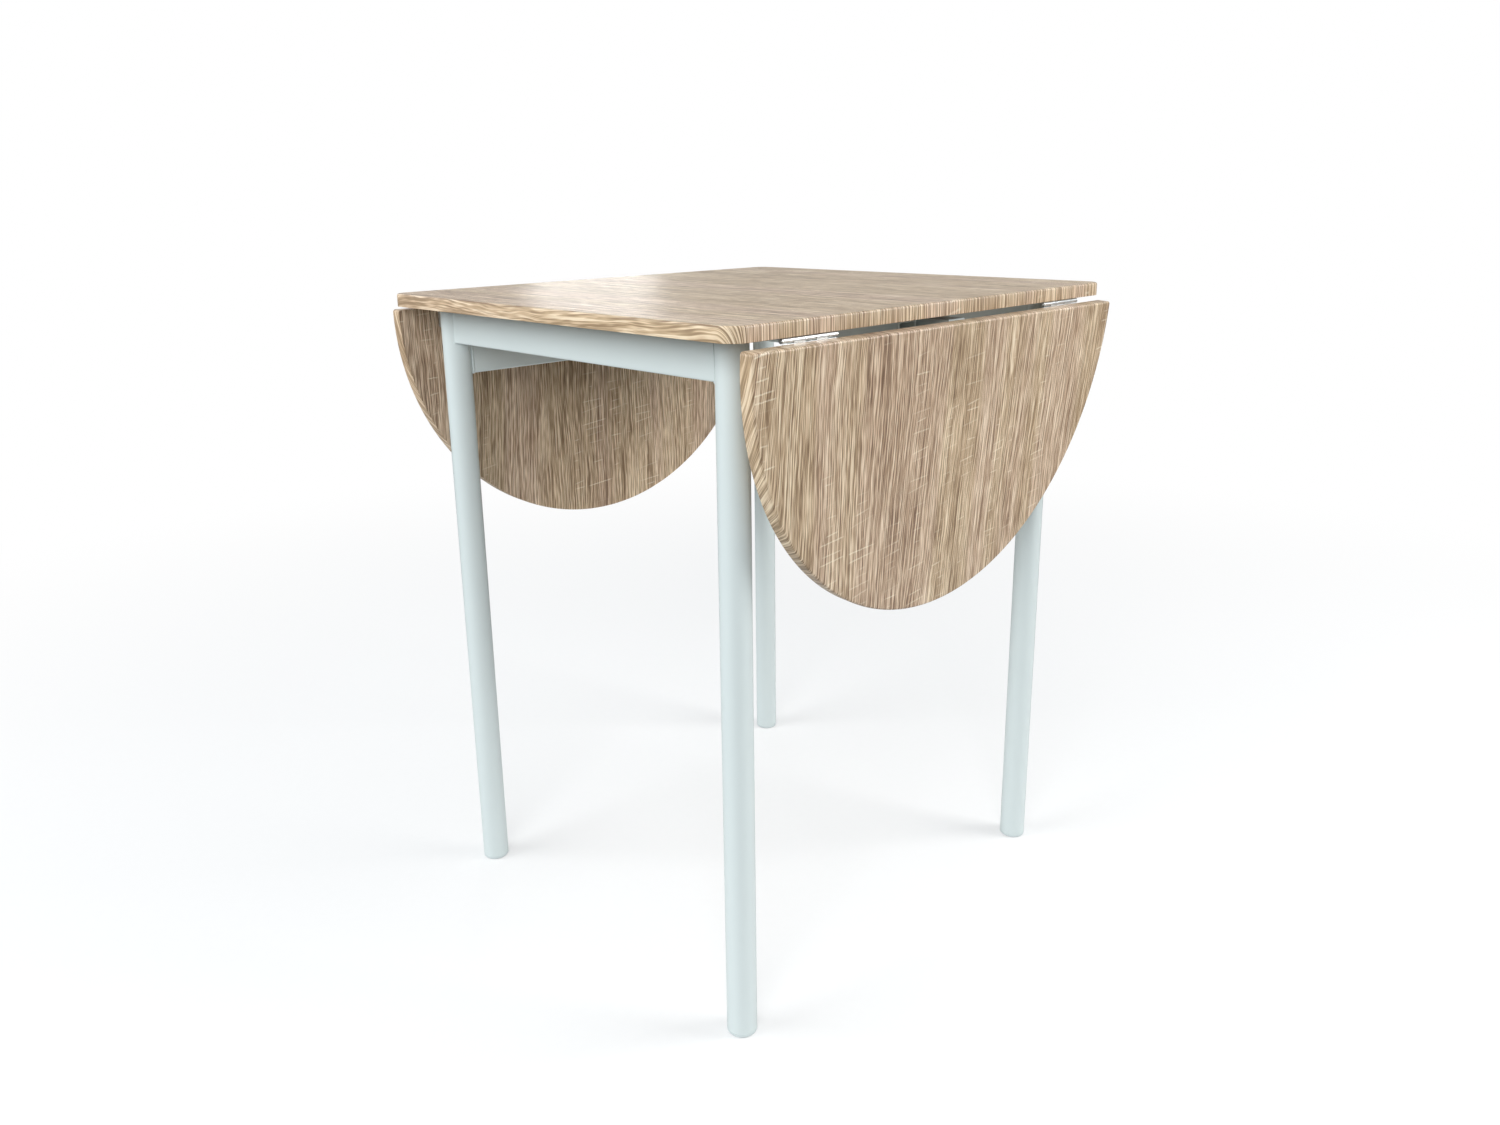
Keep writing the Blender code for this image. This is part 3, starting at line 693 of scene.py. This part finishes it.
def square_tube(low, high, wall, end_at):
    """A rounded rectangular tube along X. end_at(y, z) says how far from its middle it ends there."""
    half_y = (high.y - low.y) / 2
    half_z = (high.z - low.z) / 2
    sections = []
    for inset in (0, TUBE_EDGE, wall):
        outline = rounded_rectangle(half_y - inset, half_z - inset, TUBE_CORNER - inset, TUBE_CORNER_STEPS)
        sections.append([point for point, _ in outline])
    outer, slimmer, inner = sections
    ends = ((inner, 0), (slimmer, 0), (outer, TUBE_EDGE))
    rings = [[(end_at(y, z) - back, y, z) for y, z in section] for section, back in ends]
    rings += [[(back - end_at(y, z), y, z) for y, z in section] for section, back in reversed(ends)]
    placed = Matrix.Translation((low + high) / 2)
    return mesh_from(loft(rings, closed=True), "tube", placed)


def drilled(mesh, places, radius, name):
    """The mesh with a hole along Z of that radius through the wall at each place."""
    profile = [(radius, -HALF_CUTTER), (radius, HALF_CUTTER)]
    holes = [mesh_from(turned(profile, SMALL_STEPS), "hole", Matrix.Translation(place)) for place in places]
    return mesh_from(boolean(mesh, holes, "DIFFERENCE"), name)


def make_end_rail(end):
    low, high = box_in(f"end_rail_{end}")
    leg_low, leg_high = box_in(f"leg_{end}_right")
    leg_x = (leg_low.x + leg_high.x) / 2
    radius = (leg_high.x - leg_low.x) / 2
    half_height = (high.z - low.z) / 2

    def leg_face(y):
        """How far from the table's middle the leg's surface is."""
        return leg_x - math.sqrt(radius ** 2 - y ** 2)

    def end_at(y, z):
        share = (z + half_height) / (2 * half_height)
        return leg_face(y) - (JOINT_GAP_BOTTOM + (JOINT_GAP_TOP - JOINT_GAP_BOTTOM) * share)

    node = f"end_rail_{end}"
    tube = square_tube(low, high, RAIL_WALL, end_at)
    screws = [box_in(f"top_screw_{end}_{side}") for side in SIDES]
    holes = [((a.x + b.x) / 2, (a.y + b.y) / 2, low.z) for a, b in screws]
    piece(f"end_tube_{end}", drilled(tube, holes, ACCESS_HOLE, node), "frame", COAT, "frame_paint", node)

    middle = (low + high) / 2
    for side, sign in (("right", 1), ("left", -1)):
        path = [(sign * leg_face(y), middle.y + y, middle.z + z)
                for y, z in end_bead_section((high.y - low.y) / 2, half_height, -ENDS[end])]
        bead = mesh_from(weld_bead(path, [THIN_BEAD] * len(path)), f"bead_{end}_{side}")
        piece(f"weld_end_rail_{end}_{side}", bead, "frame", WELD, "frame_paint")


def end_bead_section(half_y, half_height, inner_sign):
    """The line of a bead along an end rail's lower and inner face, in Y and Z from the rail's middle."""
    across = 6
    up = 10
    corner = 0.7 * TUBE_CORNER
    section = [(-inner_sign * half_y * (1 - i / (2 * across)), -half_height) for i in range(across)]
    section += [(inner_sign * half_y * i / across, -half_height) for i in range(across)]
    section += [(inner_sign * (half_y - corner / 2), corner / 2 - half_height)]
    section += [(inner_sign * half_y, half_height * (i / up - 1)) for i in range(1, 2 * up + 1)]
    return section


def weld_bead(path, radii):
    """A rippled weld bead along a path of points, with a radius at each."""
    points = [Vector(point) for point in path]
    fine = []
    for i in range(len(points) - 1):
        count = max(1, round((points[i + 1] - points[i]).length / BEAD_STEP))
        for k in range(count):
            share = k / count
            fine.append((points[i].lerp(points[i + 1], share), radii[i] * (1 - share) + radii[i + 1] * share))
    fine.append((points[-1], radii[-1]))
    rings = []
    travelled = 0.0
    for i, (point, radius) in enumerate(fine):
        before, after = fine[max(i - 1, 0)][0], fine[min(i + 1, len(fine) - 1)][0]
        along = (after - before).normalized()
        travelled += (point - before).length
        # Two fixed directions across the path keep the rings from twisting.
        first = along.orthogonal().normalized() if i == 0 else (first - along * first.dot(along)).normalized()
        second = along.cross(first)
        ripple = RIPPLE_SHARE * abs(math.sin(math.pi * travelled / RIPPLE_LENGTH))
        wander = WANDER_SHARE * noise.noise(point * WANDER_CELLS)
        size = radius * (BEAD_LEAST + ripple + wander)
        turns = [TAU * k / BEAD_SIDES for k in range(BEAD_SIDES)]
        rings.append([point + (first * math.cos(turn) + second * math.sin(turn)) * size for turn in turns])
    return loft(rings)


def make_side_rail(side):
    low, high = box_in(f"side_rail_{side}")
    turn = Matrix.Rotation(math.pi / 2, 4, "Z")
    lying_low, lying_high = box_in(f"side_rail_{side}", turn)
    half_length = (lying_high.x - lying_low.x) / 2
    tube = square_tube(lying_low, lying_high, RAIL_WALL, lambda y, z: half_length)
    tube.transform(turn)
    piece(f"side_tube_{side}", tube, "frame", COAT, "frame_paint", f"side_rail_{side}")

    # A bead runs all round each end and fills the wedge between the square end and the round leg.
    half_x, half_z = (high.x - low.x) / 2, (high.z - low.z) / 2
    middle = (low + high) / 2
    bead_line = rounded_rectangle(half_x - BEAD_INSET_X, half_z - BEAD_INSET_Z, TUBE_CORNER, 4)
    outline = [point for point, _ in bead_line]
    for end, sign in ENDS.items():
        leg_low, leg_high = box_in(f"leg_{end}_{side}")
        leg_y = abs(leg_low.y + leg_high.y) / 2
        radius = (leg_high.y - leg_low.y) / 2
        path, radii = [], []
        for x, z in outline + outline[:1]:
            leg_face = leg_y - math.sqrt(radius ** 2 - x ** 2)
            path.append((middle.x + x, sign * (leg_face + high.y) / 2, middle.z + z))
            radii.append((leg_face - high.y) / 2 + BEAD_OVERLAP)
        bead = mesh_from(weld_bead(path, radii), f"bead_side_{end}_{side}")
        piece(f"weld_side_rail_{end}_{side}", bead, "frame", WELD, "frame_paint")


# ---------------------------------------------------------------- fasteners, along Z and pointing up


def thread_ring(core, crest, z, pitch, steps):
    """One ring of a helical thread, between its core's radius and its crest's."""
    ring = []
    for i in range(steps):
        share = (z / pitch - i / steps) % 1.0
        radius = core + (crest - core) * (1 - abs(2 * share - 1))
        ring.append((radius * math.cos(TAU * i / steps), radius * math.sin(TAU * i / steps), z))
    return ring


def threaded(profile, crest, core, start, end, pitch, point):
    """A screw or bolt: a turned head profile, then a thread from start to end, then its point."""
    rings = [ring_of(radius, z, SCREW_STEPS) for radius, z in profile]
    count = round((end - start) / pitch * THREAD_STEPS)
    heights = [start + (end - start) * i / count for i in range(count + 1)]
    rings += [thread_ring(core, crest, z, pitch, SCREW_STEPS) for z in heights]
    rings.append(ring_of(point, end + POINT_RISE * (crest - point), SCREW_STEPS))
    return loft(rings)


def cross_recess(z, size, depth):
    """Cutters for the two arms of a cross recess in a head whose face is at z and looks down."""
    half = RECESS_HALF_WIDTH * size
    sections = ((size, z - depth), (size, z), (RECESS_TAPER * size, z + depth))
    rings = [[(-a, -half, h), (a, -half, h), (a, half, h), (-a, half, h)] for a, h in sections]
    return [mesh_from(loft(rings), "arm", Matrix.Rotation(turn, 4, "Z")) for turn in (0, math.pi / 2)]


def wood_screw(head, length, recess, name):
    """A wood screw whose head profile, of (radius, z), starts with its face at the lowest z."""
    face = head[0][1]
    shank, seat = head[-1]
    start, end = seat + THREAD_START, length - 2 * shank
    bm = threaded([(FIT, face)] + head, shank, WOOD_CORE * shank, start, end, WOOD_PITCH, FIT)
    blank = mesh_from(bm, "blank")
    return mesh_from(boolean(blank, cross_recess(face, recess, RECESS_DEPTH), "DIFFERENCE"), name)


def several(mesh, places, name):
    """One mesh that holds a copy of a mesh at each place."""
    bm = bmesh.new()
    for place in places:
        start = len(bm.verts)
        bm.from_mesh(mesh)
        bm.verts.ensure_lookup_table()
        bmesh.ops.transform(bm, matrix=place, verts=bm.verts[start:])
    return mesh_from(bm, name)


def make_top_screws():
    screw = wood_screw(PAN_HEAD, PAN_SCREW_LENGTH, PAN_RECESS, "pan_screw")
    for end in ENDS:
        for side in SIDES:
            node = f"top_screw_{end}_{side}"
            low, high = box_in(node)
            place = centre_of(low, high) @ Matrix.Translation((0, 0, high.z - PAN_SCREW_LENGTH))
            piece(f"pan_screw_{end}_{side}", several(screw, [place], node), "frame", ZINC, "zinc", node)


# ---------------------------------------------------------------- hinges, with their axis along Y


def slab(outline, low_z, high_z, edge):
    """A flat piece over an outline of points with normals, with its edges eased."""
    bevel = 0.3 * edge
    steps = ((edge + SUPPORT_LOOP, 0), (edge, 0), (bevel, bevel), (0, edge))
    sections = [(inset, low_z + rise) for inset, rise in steps]
    sections += [(inset, high_z - rise) for inset, rise in reversed(steps)]
    return loft([[(x - n[0] * inset, y - n[1] * inset, z) for (x, y), n in outline] for inset, z in sections])


def strap_section(radius):
    """The section, in X and Z, of a strap that comes in from -X along the top and curls round the pin."""
    inner = radius - PLATE_THICKNESS
    tab = -(PLATE_INSET + TAB_OVERLAP)
    start = math.pi / 2
    angles = [start + (CURL_END - start) * i / CURL_STEPS for i in range(CURL_STEPS + 1)]
    section = [(tab, radius)] + [(radius * math.cos(a), radius * math.sin(a)) for a in angles]
    section += [(inner * math.cos(a), inner * math.sin(a)) for a in reversed(angles)] + [(tab, inner)]
    return section


def hinge_plate(length, width, radius, knuckles, reach):
    """A hinge leaf with its rolled knuckles and countersunk holes, lying along reach * X from the axis."""
    low_z = radius - PLATE_THICKNESS
    outline = rounded_rectangle(width / 2, length / 2, PLATE_CORNER, PLATE_CORNER_STEPS)
    middle = -(PLATE_INSET + width / 2)
    plate = mesh_from(slab(outline, low_z, radius, PLATE_EDGE), "plate", Matrix.Translation((middle, 0, 0)))
    pitch = length / KNUCKLES
    straps = []
    for index in knuckles:
        start = index * pitch - length / 2 + KNUCKLE_GAP / 2
        end = start + pitch - KNUCKLE_GAP
        rings = [[(x, y, z) for x, z in strap_section(radius)] for y in (start, end)]
        straps.append(mesh_from(loft(rings), "strap"))
    plate = mesh_from(boolean(plate, straps, "UNION"), "plate")
    cone = [(SINK_RADIUS + SINK_EXTRA, low_z - SINK_EXTRA), (SINK_RADIUS, low_z)]
    cone += [(PLATE_HOLE_RADIUS, radius - FIT), (PLATE_HOLE_RADIUS, radius + PAST)]
    places = [Matrix.Translation((-PLATE_HOLE_INSET, y, 0)) for y in PLATE_HOLES]
    sinks = [mesh_from(turned(cone, SMALL_STEPS), "sink", place) for place in places]
    bm = boolean(plate, sinks, "DIFFERENCE")
    if reach > 0:
        bmesh.ops.rotate(bm, cent=(0, 0, 0), matrix=Matrix.Rotation(math.pi, 3, "Z"), verts=bm.verts)
    return bm


def make_hinge(side, number, screw):
    name = f"{side}_{number}"
    pin_low, pin_high = box_in(f"hinge_pin_{name}", SIDES[side])
    centre = (pin_low + pin_high) / 2
    radius = box_in(f"hinge_top_plate_{name}")[1].z - centre.z
    length = pin_high.y - pin_low.y
    fixed = SIDES[side] @ Matrix.Translation(centre)
    moving = leaf_place(side) @ Matrix.Translation((0, centre.y, 0))
    width = -box_in(f"hinge_top_plate_{name}", fixed)[0].x - PLATE_INSET

    halves = (("top", "frame", fixed, (0, 2, 4), -1), ("leaf", f"{side}_leaf", moving, (1, 3), 1))
    for kind, body, placed, knuckles, reach in halves:
        node = f"hinge_{kind}_plate_{name}"
        plate = mesh_from(hinge_plate(length, width, radius, knuckles, reach), node, placed)
        piece(f"rolled_{node}", plate, body, ZINC, "zinc", node)
        face = radius - PLATE_THICKNESS + HEAD_SINK
        # Each screw is turned by its place, so that their recesses do not line up.
        hole_x = reach * PLATE_HOLE_INSET
        places = [placed @ Matrix.Translation((hole_x, y, face)) @ Matrix.Rotation(y * RECESS_TURN, 4, "Z")
                  for y in PLATE_HOLES]
        piece(f"screws_{node}", several(screw, places, f"screws_{node}"), body, ZINC, "zinc")

    node = f"hinge_pin_{name}"
    pin = pin_along_z((pin_high.x - pin_low.x) / 2, length / 2)
    lying = fixed @ Matrix.Rotation(math.pi / 2, 4, "X")
    piece(f"steel_pin_{name}", mesh_from(pin, node, lying), "frame", ZINC, "zinc", node)


def pin_along_z(radius, half):
    """A hinge pin, with its ends eased, about the origin."""
    top = [(radius, half - EASE), (0.8 * radius, half), (0.3 * radius, half + FIT)]
    return turned([(r, -z) for r, z in reversed(top)] + top, SCREW_STEPS)


# ---------------------------------------------------------------- swing arms


def make_carrier(side):
    """The cross tube that carries an arm's bolt, and the beads that join it to both side rails."""
    node = f"arm_carrier_{side}"
    low, high = box_in(node)
    half_length = (high.x - low.x) / 2
    tube = square_tube(low, high, CARRIER_WALL, lambda y, z: half_length)
    bolt_low, bolt_high = box_in(f"arm_bolt_{side}")
    hole = ((bolt_low.x + bolt_high.x) / 2, (bolt_low.y + bolt_high.y) / 2, high.z)
    piece(f"cross_tube_{side}", drilled(tube, [hole], BOLT_HOLE, node), "frame", COAT, "frame_paint", node)

    for rail in SIDES:
        rail_low, rail_high = box_in(f"side_rail_{rail}")
        start = rail_low.x + BEAD_SETBACK
        span = rail_high.x - rail_low.x - 2 * BEAD_SETBACK
        for end, y in (("front", low.y + BEAD_TUCK), ("back", high.y - BEAD_TUCK)):
            path = [(start + span * i / BEAD_POINTS, y, low.z) for i in range(BEAD_POINTS + 1)]
            bead = weld_bead(path, [THIN_BEAD] * len(path))
            name = f"weld_carrier_{side}_{rail}_{end}"
            piece(name, mesh_from(bead, name), "frame", WELD, "frame_paint")


def make_arm(side):
    """The flat bar, its countersunk bolt, nylon washer and nut, each made about the arm's pivot."""
    joint = JOINTS[f"{side}_arm_swing"]
    pivot = SIDES[side].inverted() @ Vector(joint["pos_m"])
    about = SIDES[side] @ Matrix.Translation((pivot.x, pivot.y, 0))
    node = f"swing_arm_{side}"
    bolt_top = box_in(f"arm_bolt_{side}", about)[1]
    bar = arm_bar(*box_in(node, about), bolt_top)
    piece(f"flat_bar_{side}", mesh_from(bar, node, about), f"{side}_arm", ZINC, "zinc", node)

    fasteners = (("socket_bolt", arm_bolt, "arm_bolt", ZINC, "zinc"),
                 ("nylon_washer", arm_washer, "arm_washer", NYLON, "nylon"),
                 ("hexagon_nut", arm_nut, "arm_nut", ZINC, "zinc"))
    for name, maker, kind, material, slot in fasteners:
        node = f"{kind}_{side}"
        mesh = mesh_from(maker(*box_in(node, about)), node, about)
        piece(f"{name}_{side}", mesh, "frame", material, slot, node)


def arm_bar(low, high, bolt_top):
    """The flat bar with round ends, countersunk for the bolt."""
    half = (high.x - low.x) / 2
    reach = -low.y - half
    outline = [((half * n[0], half * n[1]), n) for n in arc((0, 0), 1, 0, 180, ARM_END_STEPS)]
    outline += [((half * n[0], half * n[1] - reach), n) for n in arc((0, 0), 1, 180, 360, ARM_END_STEPS)]
    bar = mesh_from(slab(outline, low.z, high.z, ARM_EDGE), "bar")
    slope = (bolt_top.x - BOLT_RADIUS) / BOLT_HEAD_HEIGHT
    mouth = bolt_top.x + EASE + slope * (high.z + PAST - bolt_top.z)
    sink = [(BOLT_HOLE, low.z - PAST), (BOLT_HOLE, bolt_top.z - BOLT_HEAD_HEIGHT), (mouth, high.z + PAST)]
    return boolean(bar, [mesh_from(turned(sink), "sink")], "DIFFERENCE")


def arm_bolt(low, high):
    """The bolt, made with its head down and then turned over."""
    face = -high.z
    head_end = face + BOLT_HEAD_HEIGHT
    profile = [(FIT, face), (high.x - EASE, face), (high.x, face + EASE), (BOLT_RADIUS, head_end)]
    start, end = head_end + PAST, -low.z - 2 * EASE
    bm = threaded(profile, BOLT_RADIUS, BOLT_CORE * BOLT_RADIUS, start, end, BOLT_PITCH, BOLT_POINT)
    blank = mesh_from(bm, "blank", Matrix.Rotation(math.pi, 4, "X"))
    socket = turned([(SOCKET, high.z - SOCKET_DEPTH), (SOCKET, high.z + PAST)], 6)
    return boolean(blank, [mesh_from(socket, "socket", sharp=20)], "DIFFERENCE")


def arm_washer(low, high):
    ring = [(BOLT_HOLE, low.z), (high.x - EASE, low.z), (high.x, low.z + EASE)]
    ring += [(high.x, high.z - EASE), (high.x - EASE, high.z), (BOLT_HOLE, high.z)]
    return turned(ring, SMALL_STEPS, closed=True)


def arm_nut(low, high):
    """A hexagon prism with its corners chamfered by a drum, and a bore."""
    corner = max(high.x, high.y)
    prism = mesh_from(turned([(corner, low.z), (corner, high.z)], 6), "prism", sharp=20)
    drum = [(corner - 2 * NUT_CHAMFER, low.z), (corner + FIT, low.z + NUT_CHAMFER)]
    drum += [(corner + FIT, high.z - NUT_CHAMFER), (corner - 2 * NUT_CHAMFER, high.z)]
    chamfered = mesh_from(boolean(prism, [mesh_from(turned(drum, SMALL_STEPS), "drum")], "INTERSECT"), "nut")
    bore = [(BOLT_RADIUS + FIT, low.z - PAST), (BOLT_RADIUS + FIT, high.z + PAST)]
    return boolean(chamfered, [mesh_from(turned(bore, SMALL_STEPS), "bore")], "DIFFERENCE")


# ---------------------------------------------------------------- camera, light and floor


def add_camera():
    """The camera, off the near corner, 1.35 m from the table's middle and 0.1 m above the top."""
    data = bpy.data.cameras.new("camera")
    data.sensor_width = SENSOR_WIDTH
    data.lens = LENS
    data.shift_x, data.shift_y = LENS_SHIFT
    data.clip_start = NEAREST
    camera = bpy.data.objects.new("camera", data)
    bpy.context.scene.collection.objects.link(camera)
    level_reach = math.cos(CAMERA_PITCH)
    ahead = (level_reach * math.sin(CAMERA_YAW), level_reach * math.cos(CAMERA_YAW), math.sin(CAMERA_PITCH))
    forward = Vector(ahead)
    level = forward.cross(UP).normalized()
    above = level.cross(forward)
    right = level * math.cos(CAMERA_ROLL) + above * math.sin(CAMERA_ROLL)
    top = above * math.cos(CAMERA_ROLL) - level * math.sin(CAMERA_ROLL)
    turn = Matrix((right, top, -forward)).transposed()
    camera.matrix_world = Matrix.Translation(CAMERA_PLACE) @ turn.to_4x4()
    bpy.context.scene.camera = camera


def add_area_light(name, location, target, size, power, color):
    data = bpy.data.lights.new(name, "AREA")
    data.shape = "RECTANGLE"
    data.size, data.size_y = size
    data.energy = power
    data.color = color
    light = bpy.data.objects.new(name, data)
    light.location = location
    light.rotation_euler = (Vector(target) - light.location).to_track_quat("-Z", "Y").to_euler()
    light.visible_camera = False
    bpy.context.scene.collection.objects.link(light)


def add_world():
    """White to the camera, and a dimmer, faintly blue sky as light on the table."""
    world = bpy.data.worlds.new("studio")
    world.use_nodes = True
    bpy.context.scene.world = world
    nodes, links = world.node_tree.nodes, world.node_tree.links
    sky = nodes["Background"]
    sky.inputs["Color"].default_value = SKY_COLOR
    white = nodes.new("ShaderNodeBackground")
    white.inputs["Color"].default_value = WHITE
    direction = nodes.new("ShaderNodeTexCoord")
    height = nodes.new("ShaderNodeSeparateXYZ")
    strength = nodes.new("ShaderNodeMapRange")
    ranges = (("From Min", SKY_SPAN[0]), ("From Max", SKY_SPAN[1]), ("To Min", SKY_LOW), ("To Max", SKY_HIGH))
    for key, value in ranges:
        strength.inputs[key].default_value = value
    path = nodes.new("ShaderNodeLightPath")
    mix = nodes.new("ShaderNodeMixShader")
    links.new(direction.outputs["Generated"], height.inputs[0])
    links.new(height.outputs["Z"], strength.inputs["Value"])
    links.new(strength.outputs[0], sky.inputs["Strength"])
    links.new(path.outputs["Is Camera Ray"], mix.inputs["Fac"])
    links.new(sky.outputs[0], mix.inputs[1])
    links.new(white.outputs[0], mix.inputs[2])
    links.new(mix.outputs[0], nodes["World Output"].inputs["Surface"])


def floor_material():
    """Pale, faintly speckled and fading into the white background. It throws back less than it shows."""
    t = Tree("floor", Roughness=0.6, Specular_IOR_Level=0.2)
    place = t.add("TexCoord", {}, output="Object")
    speckle = t.noise(t.place(place, (90, 90, 90)), 3.0)
    seen = t.add("LightPath", {}, output="Is Camera Ray")
    t.color(t.mix(seen, FLOOR_THROWN, t.mix(speckle, *FLOOR_PALE)))
    t.bump(speckle, 0.0002, 0.2)
    distance = t.add("VectorMath", {0: place}, output="Value", operation="LENGTH")
    far = t.span(t.step(distance, *FLOOR_FADE), 0.35, 1.0)
    glow = t.add("Emission", {"Color": WHITE, "Strength": seen})
    fade = t.add("MixShader", {0: far, 1: t.shader.outputs[0], 2: glow})
    t.tree.links.new(fade, t.tree.nodes["Material Output"].inputs["Surface"])
    return t.material


def add_floor():
    bm = loft([ring_of(radius, 0, FLOOR_STEPS) for radius in FLOOR_RADII], cap_end=False)
    floor = bpy.data.objects.new("floor", mesh_from(bm, "floor"))
    for polygon in floor.data.polygons:
        if polygon.normal.z < 0:
            polygon.flip()
    bpy.context.scene.collection.objects.link(floor)
    floor.data.materials.append(floor_material())


add_camera()
add_world()
add_floor()
for light in LIGHTS:
    add_area_light(*light)
bpy.context.scene.view_settings.view_transform = "Standard"

make_top()
make_top_screws()
plate_screw = wood_screw(FLAT_HEAD, FLAT_SCREW_LENGTH, FLAT_RECESS, "plate_screw")
for side in SIDES:
    make_leaf(side)
    make_side_rail(side)
    make_carrier(side)
    make_arm(side)
    for number in (1, 2):
        make_hinge(side, number, plate_screw)
for end in ENDS:
    make_end_rail(end)
    for side in SIDES:
        make_leg(end, side)
